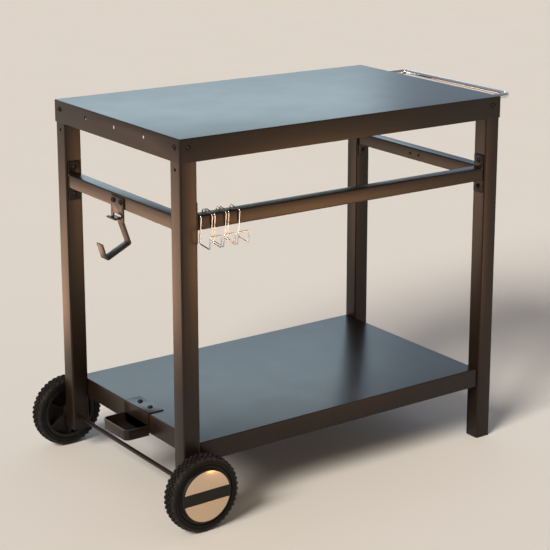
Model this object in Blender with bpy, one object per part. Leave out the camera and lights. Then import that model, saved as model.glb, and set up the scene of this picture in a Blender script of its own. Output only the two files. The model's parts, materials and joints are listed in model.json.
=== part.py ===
"""Grill cart: sheet steel table on four square legs, with a shelf, two wheels and hooks.

Sizes are metres. X runs along the cart from the wheels to the handle, Y from front to back, Z up from
the floor. The model is laid out about the middle of the tabletop and hangs on one empty, which puts the
middle of the whole cart's length at X = 0.
"""

from math import asin, cos, pi, radians, sin

import bmesh
import bpy
from mathutils import Matrix, Vector

# Clearances
FIT = 0.0003
RUNNING_FIT = 0.0003
BOLT_PLAY = 0.0005

# Tabletop: a pressed pan
TOP_LENGTH = 0.866
TOP_WIDTH = 0.530
TOP_HEIGHT = 0.836
TOP_SKIRT = 0.050
TOP_SHEET = 0.0015
TOP_HEM = 0.012
HEM_RISE = 0.0002
HEM_GAP = 0.004
SHEET_BEND = 0.0020
SHEET_CORNER = 0.0030
ACCESSORY_HOLE = 0.008
ACCESSORY_PITCH = 0.123
ACCESSORY_DROP = 0.0195

# Legs: square tube
LEG = 0.040
LEG_WALL = 0.0015
LEG_CORNER = 0.0040
LEG_HOLE = 0.0075
LEG_HOLE_DROP = 0.066
TOP_BOLT_DROP = 0.020
FOOT_FLANGE = 0.0030
FOOT_PLUG = 0.016
LEG_BELOW_AXLE = 0.026

# Rails: square tube with welded end plates
RAIL = 0.030
RAIL_WALL = 0.0012
RAIL_CORNER = 0.0025
RAIL_TOP = 0.670
PLATE_THICK = 0.0030
PLATE_TALL = 0.090
PLATE_CORNER = 0.0040
DRAIN_HOLE = 0.0050
DRAIN_IN = 0.012
RAIL_BOLT_OFFSET = 0.031

# Shelf: a pressed pan between the leg pairs
SHELF_TOP = 0.177
SHELF_SKIRT = 0.045
SHELF_SHEET = 0.0012
SHELF_RECESS = 0.0050
SHELF_HEM = 0.010
SHELF_BOLT_DROP = 0.022

# Hat channels under both pans
HAT_SHEET = 0.0010
HAT_DEPTH = 0.016
HAT_CROWN = 0.036
HAT_FLANGE = 0.014
HAT_FLARE = 0.008
HAT_PLACE = 0.150
HAT_END_GAP = 0.016

# Bolts and nuts
BOLT = 0.006
BOLT_HEAD = 0.0118
BOLT_HEAD_TOP = 0.0080
BOLT_HEAD_TALL = 0.0034
BOLT_REACH = 0.0015
NUT_FLATS = 0.010
NUT_TALL = 0.0050
WELD = 0.0002

# Axle and wheels
AXLE = 0.010
AXLE_CHAMFER = 0.0010
WHEEL = 0.168
WHEEL_CLEAR = 0.0148
TYRE_WIDTH = 0.036
LUG = 0.0030
LUG_INSET = 0.0011
LUG_PITCHES = 28
LUG_ROW = 0.0106
TREAD_WIDTH = 0.0318
SHOULDER_DROP = 0.0024
SIDEWALL_DROP = 0.0095
SIDEWALL_FOOT = 0.0045
SIDEWALL_TUCK = 0.0004
BEAD_SEAT = 0.1194
RIM_WIDTH = 0.034
RIM_FLANGE = 0.128
RIM_FLANGE_THICK = 0.0022
RIM_WALL = 0.0034
RIM_WEB = 0.0030
RIM_RIBS = 6
RIM_RIB = 0.0028
RIM_RIB_ROOT = 0.0025
HUB = 0.028
HUB_INSET = 0.0100
BUSH = 0.0150
BUSH_COLLAR = 0.024
BUSH_FLANGE = 0.0030
WASHER = 0.0016
WASHER_SIZE = 0.022
AXLE_NUT = 0.017
AXLE_NUT_TALL = 0.0058
AXLE_NUT_WALL = 0.0014
AXLE_NUT_RIM = 0.0018
AXLE_NUT_CROWN = 0.011
AXLE_REACH = 0.0035
CAP = 0.120
CAP_FACE = 0.0022
CAP_PROUD = 0.0057
CAP_EDGE = 0.0016
CAP_SKIRT = 0.0060
CAP_SKIRT_WALL = 0.0015
CAP_BAND = 0.026
CAP_PLATE = 0.112
CAP_RECESS = 0.0008
CAP_PLATE_THICK = 0.0010

# Side handle: bent tube outside the right skirt
HANDLE_TUBE = 0.0127
HANDLE_WALL = 0.0015
HANDLE_REACH = 0.089
HANDLE_INSET = 0.068
HANDLE_DROP = 0.016
HANDLE_BEND = 0.016
HANDLE_INSERT = 0.014
ROSETTE = 0.022
ROSETTE_THICK = 0.0020
ROSETTE_EDGE = 0.0008

# Tank hook in its slotted plate on the left rail
HOOK_PLATE_THICK = 0.0025
HOOK_PLATE_WIDE = 0.054
HOOK_PLATE_TALL = 0.053
HOOK_PLATE_DROP = 0.005
HOOK_PLATE_CORNER = 0.0030
HOOK_BOLT_PITCH = 0.032
SLOT_TALL = 0.0095
SLOT_PLAY = 0.0030
SLOT_FOOT = 0.0053
SLOT_CORNER = 0.0015
HOOK_REST = 0.0009
HOOK_BAR = 0.0030
HOOK_BAR_WIDE = 0.025
HOOK_BEND = 0.0040
HOOK_NECK_GAP = 0.0009
HEAD_WIDE = 0.038
HEAD_DEEP = 0.008
HEAD_CLEAR = 0.008
HEAD_CORNER = 0.0020
SHANK_RUN = 0.0205
SHANK_DROP = 0.060
SEAT_RUN = 0.058
SEAT_DROP = 0.029
TIP_RUN = 0.011
TIP_RISE = 0.0365

# Tank tray on the shelf's left edge
TRAY_SHEET = 0.0020
TRAY_LONG = 0.104
TRAY_FLANGE = 0.037
TRAY_REACH = 0.0588
TRAY_DROP = 0.0505
TRAY_WALL = 0.0235
TRAY_CORNER = 0.0115
TRAY_BOLT_PITCH = 0.044
TRAY_BOLT_IN = 0.021

# Wire hooks on the front rail
WIRE = 0.0028
WIRE_WIDE = 0.0298
WIRE_PITCH = 0.0335
WIRE_FIRST = 0.0218
WIRE_LEAN = radians(6)
WIRE_OVER = 0.0372
WIRE_BACK = 0.013
WIRE_FRONT = 0.060
WIRE_FOOT = 0.0385
WIRE_TIP = 0.027
WIRE_BEND = 0.0045
WIRE_COUNT = 3

# Facets
SHARP = 0.0001
CORNER_STEPS = 2
BEND_STEPS = 3
WIRE_STEPS = 2
HOLE_SIDES = 8
BOLT_SIDES = 6
AXLE_SIDES = 12
HANDLE_SIDES = 12
HANDLE_BEND_STEPS = 3
RIM_SIDES = 24
CAP_SIDES = 28

# Places that follow from the sizes
LEG_X = TOP_LENGTH / 2 - TOP_SHEET - FIT - LEG / 2
LEG_Y = TOP_WIDTH / 2 - TOP_SHEET - FIT - LEG / 2
LEG_TOP = TOP_HEIGHT - TOP_SHEET - FIT
RAIL_MID = RAIL_TOP - RAIL / 2
AXLE_HEIGHT = WHEEL / 2
LEFT_LEG_FOOT = AXLE_HEIGHT - LEG_BELOW_AXLE
TREAD = (WHEEL / 2 - LUG) / cos(pi / (2 * LUG_PITCHES))
LEG_FACE_X = LEG_X - LEG / 2
LEG_FACE_Y = LEG_Y - LEG / 2
TYRE_INNER = LEG_Y + LEG / 2 + WHEEL_CLEAR
TYRE_MID = TYRE_INNER + TYRE_WIDTH / 2
TYRE_OUTER = TYRE_INNER + TYRE_WIDTH
HANDLE_Z = TOP_HEIGHT - HANDLE_DROP
HANDLE_X = TOP_LENGTH / 2 + HANDLE_REACH
HANDLE_SPAN = TOP_WIDTH - 2 * HANDLE_INSET
LEFT_END = -LEG_X - WHEEL / 2
RIGHT_END = HANDLE_X + HANDLE_TUBE / 2
MIDDLE_X = (LEFT_END + RIGHT_END) / 2
RAIL_FACE_X = -LEG_X - RAIL / 2
SLOT_BOTTOM = RAIL_TOP - HOOK_PLATE_DROP - HOOK_PLATE_TALL + SLOT_FOOT
HOOK_PIVOT = Vector((RAIL_FACE_X - FIT - HOOK_PLATE_THICK / 2, 0.0, SLOT_BOTTOM + HOOK_REST + HOOK_BAR / 2))
FRONT_REAR = (("front", -1), ("rear", 1))
LEFT_RIGHT = (("left", -1), ("right", 1))

FINISHES = {
    "black powder coat": ((0.018, 0.016, 0.015), 0.42, 0.0),
    "bright chrome": ((0.62, 0.63, 0.64), 0.12, 1.0),
    "zinc": ((0.40, 0.40, 0.41), 0.35, 1.0),
    "black rubber": ((0.012, 0.012, 0.013), 0.78, 0.0),
    "black plastic": ((0.014, 0.014, 0.015), 0.48, 0.0),
    "natural nylon": ((0.55, 0.54, 0.50), 0.50, 0.0),
}


def clear_scene():
    for obj in list(bpy.data.objects):
        bpy.data.objects.remove(obj, do_unlink=True)


def material(name, finish):
    """A Principled material of the object's own, in one of the cart's finishes."""
    colour, roughness, metallic = FINISHES[finish]
    mat = bpy.data.materials.new(f"{name} {finish}")
    mat.use_nodes = True
    shader = mat.node_tree.nodes["Principled BSDF"]
    shader.inputs["Base Color"].default_value = (*colour, 1.0)
    shader.inputs["Roughness"].default_value = roughness
    shader.inputs["Metallic"].default_value = metallic
    return mat


def empty(name, location, parent=None):
    obj = bpy.data.objects.new(name, None)
    obj.location = location
    obj.parent = parent
    bpy.context.collection.objects.link(obj)
    return obj


def place(name, bm, finish, parent):
    """Turn a bmesh into a named object under its parent, shaded smooth up to 35 degrees."""
    bmesh.ops.recalc_face_normals(bm, faces=bm.faces)
    mesh = bpy.data.meshes.new(name)
    bm.to_mesh(mesh)
    bm.free()
    obj = bpy.data.objects.new(name, mesh)
    obj.parent = parent
    bpy.context.collection.objects.link(obj)
    mesh.materials.append(material(name, finish))
    mesh.shade_smooth()
    mesh.set_sharp_from_angle(angle=radians(35))
    return obj


def combine(obj, bm, operation):
    """Cut a bmesh out of an object, or join it on, by an exact Boolean that is applied at once."""
    bmesh.ops.recalc_face_normals(bm, faces=bm.faces)
    mesh = bpy.data.meshes.new("tool")
    bm.to_mesh(mesh)
    bm.free()
    tool = bpy.data.objects.new("tool", mesh)
    tool.parent = obj.parent
    tool.location = obj.location
    bpy.context.collection.objects.link(tool)
    modifier = obj.modifiers.new("combine", "BOOLEAN")
    modifier.operation = operation
    modifier.solver = "EXACT"
    modifier.object = tool
    bpy.context.view_layer.update()
    depsgraph = bpy.context.evaluated_depsgraph_get()
    result = bpy.data.meshes.new_from_object(obj.evaluated_get(depsgraph))
    obj.modifiers.clear()
    old = obj.data
    obj.data = result
    result.name = obj.name
    bpy.data.meshes.remove(old)
    bpy.data.objects.remove(tool, do_unlink=True)
    bpy.data.meshes.remove(mesh)
    result.shade_smooth()
    result.set_sharp_from_angle(angle=radians(35))


def arc(centre, radius, start, end, steps):
    """Points on an arc from one angle to another, both ends included."""
    angles = [start + (end - start) * k / steps for k in range(steps + 1)]
    return [(centre[0] + radius * cos(a), centre[1] + radius * sin(a)) for a in angles]


def rounded_rectangle(width, depth, radius, steps=CORNER_STEPS):
    """Outline of a rectangle with round corners about 0, 0, anticlockwise."""
    points = []
    for sx, sy, start in ((1, 1, 0.0), (-1, 1, pi / 2), (-1, -1, pi), (1, -1, 3 * pi / 2)):
        centre = (sx * (width / 2 - radius), sy * (depth / 2 - radius))
        points += arc(centre, radius, start, start + pi / 2, steps)
    return points


def filleted(points, radius, steps):
    """An open path whose inner corners are replaced by arcs; points may be 2-D or 3-D."""
    path = [Vector(points[0])]
    for before, corner, after in zip(points, points[1:], points[2:]):
        corner = Vector(corner)
        back = (Vector(before) - corner).normalized()
        ahead = (Vector(after) - corner).normalized()
        half = back.angle(ahead) / 2
        middle = (back + ahead).normalized()
        centre = corner + middle * (radius / sin(half))
        swing = pi / 2 - half
        across = (ahead - back).normalized()
        for k in range(steps + 1):
            turn = -swing + 2 * swing * k / steps
            path.append(centre - middle * radius * cos(turn) + across * radius * sin(turn))
    path.append(Vector(points[-1]))
    return path


def ribbon(path, thickness):
    """Closed outline of a strip of even thickness about an open 2-D path."""
    left = []
    right = []
    for k, point in enumerate(path):
        into = (point - path[k - 1]).normalized() if k else (path[1] - point).normalized()
        out = (path[k + 1] - point).normalized() if k + 1 < len(path) else into
        along = (into + out).normalized()
        normal = Vector((-along.y, along.x))
        reach = thickness / 2 / max(along.dot(into), 0.5)
        left.append(tuple(point + normal * reach))
        right.append(tuple(point - normal * reach))
    return left + right[::-1]


def add_prism(bm, outline, low, high, matrix=Matrix()):
    """Extrude a closed outline along its local Z from low to high."""
    bottom = [bm.verts.new(matrix @ Vector((x, y, low))) for x, y in outline]
    face = bm.faces.new(bottom)
    grown = bmesh.ops.extrude_face_region(bm, geom=[face])
    raised = [item for item in grown["geom"] if isinstance(item, bmesh.types.BMVert)]
    shift = matrix.to_3x3() @ Vector((0.0, 0.0, high - low))
    bmesh.ops.translate(bm, vec=shift, verts=raised)


def add_tube(bm, outer, inner, low, high, matrix=Matrix()):
    """A straight tube between two outlines that have the same number of points."""
    rings = []
    for outline, level in ((outer, low), (outer, high), (inner, high), (inner, low)):
        rings.append([bm.verts.new(matrix @ Vector((x, y, level))) for x, y in outline])
    bridge(bm, rings + rings[:1])


def bridge(bm, rings):
    """Skin rings that have the same number of verts, one to the next."""
    count = len(rings[0])
    for ring, following in zip(rings, rings[1:]):
        for j in range(count):
            nxt = (j + 1) % count
            bm.faces.new((ring[j], ring[nxt], following[nxt], following[j]))


def add_turned(bm, profile, sides, matrix=Matrix(), closed=False):
    """Turn a profile of (radius, height) pairs once round its local Z axis.

    A closed profile gives a ring. An open one starts and ends on the axis, at the middle of a fan of faces.
    """
    tips = []
    if not closed:
        tips = [bm.verts.new(matrix @ Vector((0.0, 0.0, profile[end][1]))) for end in (0, -1)]
        profile = profile[1:-1]
    rings = []
    for radius, height in profile:
        angles = [2 * pi * k / sides for k in range(sides)]
        spots = [Vector((radius * cos(a), radius * sin(a), height)) for a in angles]
        rings.append([bm.verts.new(matrix @ spot) for spot in spots])
    bridge(bm, rings + rings[:1] if closed else rings)
    for tip, ring in zip(tips, (rings[0], rings[-1])):
        for k in range(sides):
            bm.faces.new((tip, ring[k], ring[(k + 1) % sides]))


def facing(direction, location=(0.0, 0.0, 0.0)):
    """Matrix that turns local +Z to a direction and moves to a location."""
    turn = Vector((0.0, 0.0, 1.0)).rotation_difference(Vector(direction))
    return Matrix.Translation(location) @ turn.to_matrix().to_4x4()


def add_bolt(bm, seat, direction, grip, nut_from=None):
    """A bolt with its head on the seat along direction and its shank the other way.

    With nut_from, the shank ends in a nut of its own that starts that far behind the seat.
    """
    shank = BOLT / 2
    foot = [(0.0, -grip), (shank, -grip)]
    if nut_from is not None:
        nut = NUT_FLATS / 2 / cos(pi / BOLT_SIDES)
        end = -nut_from - NUT_TALL
        foot = [(0.0, end), (nut, end), (nut, -nut_from), (shank, -nut_from)]
    head = [(shank, 0.0), (BOLT_HEAD / 2, 0.0), (BOLT_HEAD_TOP / 2, BOLT_HEAD_TALL), (0.0, BOLT_HEAD_TALL)]
    add_turned(bm, foot + head, BOLT_SIDES, facing(direction, seat))


def add_frame_bolt(bm, face, direction, sheet):
    """A bolt that is one with the sheet it stands on, through the sheet and a leg's wall to its nut."""
    seat = Vector(face) - Vector(direction) * WELD
    add_bolt(bm, seat, direction, 0.0, sheet - WELD + FIT + LEG_WALL + FIT)


def bolt(name, seat, direction, grip, finish, parent):
    bm = bmesh.new()
    add_bolt(bm, seat, direction, grip)
    place(name, bm, finish, parent)


def nut(name, seat, direction, parent):
    """A hexagon nut that stands on its seat along direction."""
    corner = NUT_FLATS / 2 / cos(pi / 6)
    bore = (BOLT / 2 + BOLT_PLAY) / cos(pi / 6)
    profile = [(bore, 0.0), (corner, 0.0), (corner, NUT_TALL), (bore, NUT_TALL)]
    bm = bmesh.new()
    add_turned(bm, profile, 6, facing(direction, seat), closed=True)
    place(name, bm, "zinc", parent)


def add_drill(bm, middle, direction, diameter, length, sides=HOLE_SIDES):
    """A cutter for a round hole, centred on its middle. Its flats lie on the diameter."""
    radius = diameter / 2 / cos(pi / sides)
    outline = arc((0.0, 0.0), radius, 0.0, 2 * pi * (1 - 1 / sides), sides - 1)
    add_prism(bm, outline, -length / 2, length / 2, facing(direction, middle))


def add_bolt_hole(bm, middle, direction, length):
    add_drill(bm, middle, direction, BOLT + 2 * BOLT_PLAY, length, BOLT_SIDES)


def pan_skin(bm, length, width, top, bottom, bend, corner):
    """One skin of a pressed pan: its flat top, the bend round it and the skirt. Gives the lowest ring."""
    steps = 2
    levels = [(bend * (1 - sin(pi / 2 * k / steps)), bend * (1 - cos(pi / 2 * k / steps)))
              for k in range(steps + 1)]
    levels.append((0.0, top - bottom))
    rings = []
    for inset, drop in levels:
        outline = rounded_rectangle(length - 2 * inset, width - 2 * inset, max(corner - inset, SHARP))
        rings.append([bm.verts.new((x, y, top - drop)) for x, y in outline])
    bm.faces.new(rings[0])
    bridge(bm, rings)
    return rings[-1]


def pan(name, length, width, top, skirt, sheet, hem, hem_x, hem_y, parent):
    """A pressed pan of even sheet thickness with a hem turned in under each skirt.

    hem_x and hem_y are half of the hems' lengths along X and along Y.
    """
    bm = bmesh.new()
    bottom = top - skirt
    outer = pan_skin(bm, length, width, top, bottom, SHEET_BEND, SHEET_CORNER)
    inner = pan_skin(bm, length - 2 * sheet, width - 2 * sheet, top - sheet, bottom, SHEET_BEND - sheet,
                     SHEET_CORNER - sheet)
    bridge(bm, [outer, inner])
    obj = place(name, bm, "black powder coat", parent)
    hems = bmesh.new()
    for side in (-1, 1):
        x = side * (length / 2 - sheet + WELD - hem / 2)
        y = side * (width / 2 - sheet + WELD - hem / 2)
        for spot, size in (((x, 0.0), (hem, 2 * hem_y)), ((0.0, y), (2 * hem_x, hem))):
            outline = [(spot[0] + size[0] / 2 * sx, spot[1] + size[1] / 2 * sy)
                       for sx, sy in ((-1, -1), (1, -1), (1, 1), (-1, 1))]
            add_prism(hems, outline, bottom + HEM_RISE, bottom + HEM_RISE + sheet)
    combine(obj, hems, "UNION")
    return obj


def leg_corners():
    """Name and the signs of X and Y of each leg."""
    return (("front_left", -1, -1), ("rear_left", -1, 1), ("front_right", 1, -1), ("rear_right", 1, 1))


def tabletop(parent):
    obj = pan("tabletop", TOP_LENGTH, TOP_WIDTH, TOP_HEIGHT, TOP_SKIRT, TOP_SHEET, TOP_HEM,
              LEG_FACE_X - HEM_GAP, LEG_FACE_Y - HEM_GAP, parent)
    drills = bmesh.new()
    for k in (-1, 0, 1):
        middle = (-TOP_LENGTH / 2, k * ACCESSORY_PITCH, TOP_HEIGHT - ACCESSORY_DROP)
        add_drill(drills, middle, (1, 0, 0), ACCESSORY_HOLE, 3 * TOP_SHEET)
    for sy in (-1, 1):
        middle = (TOP_LENGTH / 2, sy * HANDLE_SPAN / 2, HANDLE_Z)
        add_bolt_hole(drills, middle, (1, 0, 0), 3 * TOP_SHEET)
    combine(obj, drills, "DIFFERENCE")
    bolts = bmesh.new()
    level = TOP_HEIGHT - TOP_BOLT_DROP
    for _, sx, sy in leg_corners():
        add_frame_bolt(bolts, (sx * TOP_LENGTH / 2, sy * LEG_Y, level), (sx, 0, 0), TOP_SHEET)
        add_frame_bolt(bolts, (sx * LEG_X, sy * TOP_WIDTH / 2, level), (0, sy, 0), TOP_SHEET)
    combine(obj, bolts, "UNION")


def hat_outline():
    """Section of a hat channel that hangs below 0, with its flanges at 0."""
    crown = HAT_CROWN / 2
    web = crown + HAT_FLARE
    tip = web + HAT_FLANGE
    low = -HAT_DEPTH + HAT_SHEET / 2
    high = -HAT_SHEET / 2
    path = [(-tip, high), (-web, high), (-crown, low), (crown, low), (web, high), (tip, high)]
    return ribbon([Vector(point) for point in path], HAT_SHEET)


def stiffeners(name, under, width, parent):
    """Two hat channels across a pan, under its sheet."""
    outline = [(x, -y) for x, y in hat_outline()]
    half = width / 2 - HAT_END_GAP
    for side, sx in LEFT_RIGHT:
        bm = bmesh.new()
        add_prism(bm, outline, -half, half, facing((0, 1, 0), (sx * HAT_PLACE, 0, under - FIT)))
        place(f"{name}_{side}", bm, "black powder coat", parent)


def leg_holes(drills, sx, sy):
    """Cutters for one leg's bolt holes; each goes through one wall."""
    depth = 3 * LEG_WALL
    outer_x = sx * (LEG_X + LEG / 2)
    outer_y = sy * (LEG_Y + LEG / 2)
    inner_x = sx * LEG_FACE_X
    inner_y = sy * LEG_FACE_Y
    bolt_z = TOP_HEIGHT - TOP_BOLT_DROP
    add_bolt_hole(drills, (outer_x, sy * LEG_Y, bolt_z), (1, 0, 0), depth)
    add_bolt_hole(drills, (sx * LEG_X, outer_y, bolt_z), (0, 1, 0), depth)
    add_drill(drills, (outer_x, sy * LEG_Y, TOP_HEIGHT - LEG_HOLE_DROP), (1, 0, 0), LEG_HOLE, depth)
    for side in (-1, 1):
        level = RAIL_MID + side * RAIL_BOLT_OFFSET
        add_bolt_hole(drills, (sx * LEG_X, inner_y, level), (0, 1, 0), depth)
        if sy < 0:
            add_bolt_hole(drills, (inner_x, sy * LEG_Y, level), (1, 0, 0), depth)
    add_bolt_hole(drills, (inner_x, sy * LEG_Y, SHELF_TOP - SHELF_BOLT_DROP), (1, 0, 0), depth)
    if sx < 0:
        bore = AXLE + 2 * RUNNING_FIT
        add_drill(drills, (sx * LEG_X, sy * LEG_Y, AXLE_HEIGHT), (0, 1, 0), bore, LEG + 4 * LEG_WALL)


def legs(parent):
    outer = rounded_rectangle(LEG, LEG, LEG_CORNER)
    bore = LEG - 2 * LEG_WALL
    inner = rounded_rectangle(bore, bore, LEG_CORNER - LEG_WALL)
    for name, sx, sy in leg_corners():
        foot = LEFT_LEG_FOOT if sx < 0 else 0.0
        bm = bmesh.new()
        spot = Matrix.Translation((sx * LEG_X, sy * LEG_Y, 0.0))
        add_tube(bm, outer, inner, foot + FOOT_FLANGE + FIT, LEG_TOP, spot)
        obj = place(f"leg_{name}", bm, "black powder coat", parent)
        drills = bmesh.new()
        leg_holes(drills, sx, sy)
        combine(obj, drills, "DIFFERENCE")


def feet(parent):
    """Moulded plugs in the open ends of the legs, each with a flange as large as the tube."""
    flange = rounded_rectangle(LEG, LEG, LEG_CORNER)
    plug = LEG - 2 * LEG_WALL - 2 * FIT
    spigot = rounded_rectangle(plug, plug, LEG_CORNER - LEG_WALL)
    for name, sx, sy in leg_corners():
        foot = LEFT_LEG_FOOT if sx < 0 else 0.0
        bm = bmesh.new()
        spot = Matrix.Translation((sx * LEG_X, sy * LEG_Y, foot))
        levels = ((flange, 0.0), (flange, FOOT_FLANGE), (spigot, FOOT_FLANGE), (spigot, FOOT_PLUG))
        rings = [[bm.verts.new(spot @ Vector((x, y, z))) for x, y in outline] for outline, z in levels]
        bridge(bm, rings)
        bm.faces.new(rings[0][::-1])
        bm.faces.new(rings[-1])
        place(f"foot_{name}", bm, "black plastic", parent)


def rail_runs():
    """Name, direction, middle and length of each rail with its end plates."""
    along_x = 2 * (LEG_FACE_X - FIT)
    along_y = 2 * (LEG_FACE_Y - FIT)
    return (("rail_left", (0, 1, 0), (-LEG_X, 0.0, RAIL_MID), along_y),
            ("rail_right", (0, 1, 0), (LEG_X, 0.0, RAIL_MID), along_y),
            ("rail_front", (1, 0, 0), (0.0, -LEG_Y, RAIL_MID), along_x))


def rails(parent):
    """Each rail is welded up: a tube, a plate on each end, and the plates' bolts to the legs."""
    outer = rounded_rectangle(RAIL, RAIL, RAIL_CORNER)
    bore = RAIL - 2 * RAIL_WALL
    inner = rounded_rectangle(bore, bore, RAIL_CORNER - RAIL_WALL)
    for name, direction, middle, length in rail_runs():
        tube = length / 2 - PLATE_THICK + WELD
        bm = bmesh.new()
        add_tube(bm, outer, inner, -tube, tube, facing(direction, middle))
        obj = place(name, bm, "black powder coat", parent)
        along = Vector(direction)
        drills = bmesh.new()
        for end in (-1, 1):
            spot = Vector(middle) + along * end * (tube - DRAIN_IN) - Vector((0, 0, RAIL / 2))
            add_drill(drills, spot, (0, 0, 1), DRAIN_HOLE, 4 * RAIL_WALL)
            if name != "rail_front":
                spot = (middle[0], end * HOOK_BOLT_PITCH / 2, RAIL_MID)
                add_bolt_hole(drills, spot, (1, 0, 0), RAIL + 4 * RAIL_WALL)
        combine(obj, drills, "DIFFERENCE")
        rail_ends(obj, along, Vector(middle), length)


def rail_ends(obj, along, middle, length):
    """Weld on the two end plates, then their bolts above and below the tube."""
    up = Vector((0, 0, 1))
    turn = Matrix((up.cross(along), up, along)).transposed().to_4x4()
    outline = rounded_rectangle(RAIL, PLATE_TALL, PLATE_CORNER)
    plates = bmesh.new()
    bolts = bmesh.new()
    for end in (-1, 1):
        spot = middle + along * end * (length - PLATE_THICK) / 2
        add_prism(plates, outline, -PLATE_THICK / 2, PLATE_THICK / 2, Matrix.Translation(spot) @ turn)
        face = middle + along * end * (length / 2 - PLATE_THICK)
        for side in (-1, 1):
            add_frame_bolt(bolts, face + up * side * RAIL_BOLT_OFFSET, -end * along, PLATE_THICK)
    combine(obj, plates, "UNION")
    combine(obj, bolts, "UNION")


def shelf(parent):
    length = 2 * (LEG_FACE_X - FIT)
    width = 2 * (LEG_Y + LEG / 2 - SHELF_RECESS)
    obj = pan("shelf", length, width, SHELF_TOP, SHELF_SKIRT, SHELF_SHEET, SHELF_HEM,
              length / 2 - SHELF_HEM - HEM_GAP, LEG_FACE_Y - HEM_GAP, parent)
    bolts = bmesh.new()
    for _, sx, sy in leg_corners():
        face = (sx * (length / 2 - SHELF_SHEET), sy * LEG_Y, SHELF_TOP - SHELF_BOLT_DROP)
        add_frame_bolt(bolts, face, (-sx, 0, 0), SHELF_SHEET)
    combine(obj, bolts, "UNION")
    drills = bmesh.new()
    for sy in (-1, 1):
        middle = (-length / 2 + TRAY_BOLT_IN, sy * TRAY_BOLT_PITCH / 2, SHELF_TOP)
        add_bolt_hole(drills, middle, (0, 0, 1), 4 * SHELF_SHEET)
    combine(obj, drills, "DIFFERENCE")
    stiffeners("shelf_stiffener", SHELF_TOP - SHELF_SHEET, width, parent)


def hub_ends():
    """Distances from the cart's middle plane to the hub's inner and outer ends."""
    inner = LEG_Y + LEG / 2 + FIT + BUSH_FLANGE + FIT
    return inner, TYRE_OUTER - HUB_INSET


def axle(parent):
    """The rod through both left legs, with a washer and a push nut outside each wheel."""
    _, outer = hub_ends()
    washer_seat = outer + FIT
    nut_seat = washer_seat + WASHER + FIT
    end = nut_seat + AXLE_REACH
    tip = AXLE / 2 - AXLE_CHAMFER
    bm = bmesh.new()
    profile = [(0.0, -end), (tip, -end), (AXLE / 2, AXLE_CHAMFER - end), (AXLE / 2, end - AXLE_CHAMFER),
               (tip, end), (0.0, end)]
    add_turned(bm, profile, AXLE_SIDES, facing((0, 1, 0), (-LEG_X, 0, AXLE_HEIGHT)))
    place("axle", bm, "black powder coat", parent)
    for name, side in FRONT_REAR:
        washer(f"axle_washer_{name}", side, washer_seat, parent)
        push_nut(f"axle_nut_{name}", side, nut_seat, parent)


def axle_bore():
    return AXLE / 2 + RUNNING_FIT


def washer(name, side, start, parent):
    ring = [(axle_bore(), 0.0), (WASHER_SIZE / 2, 0.0), (WASHER_SIZE / 2, WASHER), (axle_bore(), WASHER)]
    bm = bmesh.new()
    add_turned(bm, ring, AXLE_SIDES, facing((0, side, 0), (-LEG_X, side * start, AXLE_HEIGHT)), closed=True)
    place(name, bm, "zinc", parent)


def push_nut(name, side, start, parent):
    """A domed cap that is pushed over the axle's end."""
    edge = AXLE_NUT / 2
    deep = AXLE_NUT_TALL - AXLE_NUT_WALL
    dome = [(0.0, deep), (axle_bore(), deep), (axle_bore(), 0.0), (edge, 0.0), (edge, AXLE_NUT_RIM),
            (AXLE_NUT_CROWN / 2, AXLE_NUT_TALL), (0.0, AXLE_NUT_TALL)]
    bm = bmesh.new()
    add_turned(bm, dome, AXLE_SIDES, facing((0, side, 0), (-LEG_X, side * start, AXLE_HEIGHT)))
    place(name, bm, "zinc", parent)


def tyre_section():
    """Closed section of a tyre as (radius, distance from its middle). The first three spans carry lugs."""
    half = TYRE_WIDTH / 2
    flange = RIM_FLANGE / 2
    bead = RIM_WIDTH / 2 - RIM_FLANGE_THICK - FIT
    tread = [(TREAD - SHOULDER_DROP, -TREAD_WIDTH / 2), (TREAD, -LUG_ROW / 2), (TREAD, LUG_ROW / 2),
             (TREAD - SHOULDER_DROP, TREAD_WIDTH / 2)]
    wall = [(TREAD - SIDEWALL_DROP, half), (flange + SIDEWALL_FOOT, half - SIDEWALL_TUCK),
            (flange + FIT, bead), (BEAD_SEAT / 2 + FIT, bead)]
    return tread + wall + [(r, -t) for r, t in reversed(wall)]


def tyre(name, parent):
    """A lugged tyre: the section turned, then every other tread face pressed out as a block.

    The faces are centred on the bottom of the wheel, so that a middle block lies flat on the floor.
    """
    section = tyre_section()
    steps = 2 * LUG_PITCHES
    bm = bmesh.new()
    rings = []
    for k in range(steps):
        angle = 2 * pi * (k - 0.5) / steps
        rings.append([bm.verts.new((r * sin(angle), t, r * cos(angle))) for r, t in section])
    count = len(section)
    lugs = []
    for k in range(steps):
        ring, following = rings[k], rings[(k + 1) % steps]
        for j in range(count):
            nxt = (j + 1) % count
            face = bm.faces.new((ring[j], following[j], following[nxt], ring[nxt]))
            if j < 3 and (k + (j != 1)) % 2 == 0:
                lugs.append(face)
    bmesh.ops.recalc_face_normals(bm, faces=bm.faces)
    bmesh.ops.inset_individual(bm, faces=lugs, thickness=LUG_INSET, depth=LUG)
    place(name, bm, "black rubber", parent)


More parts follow.
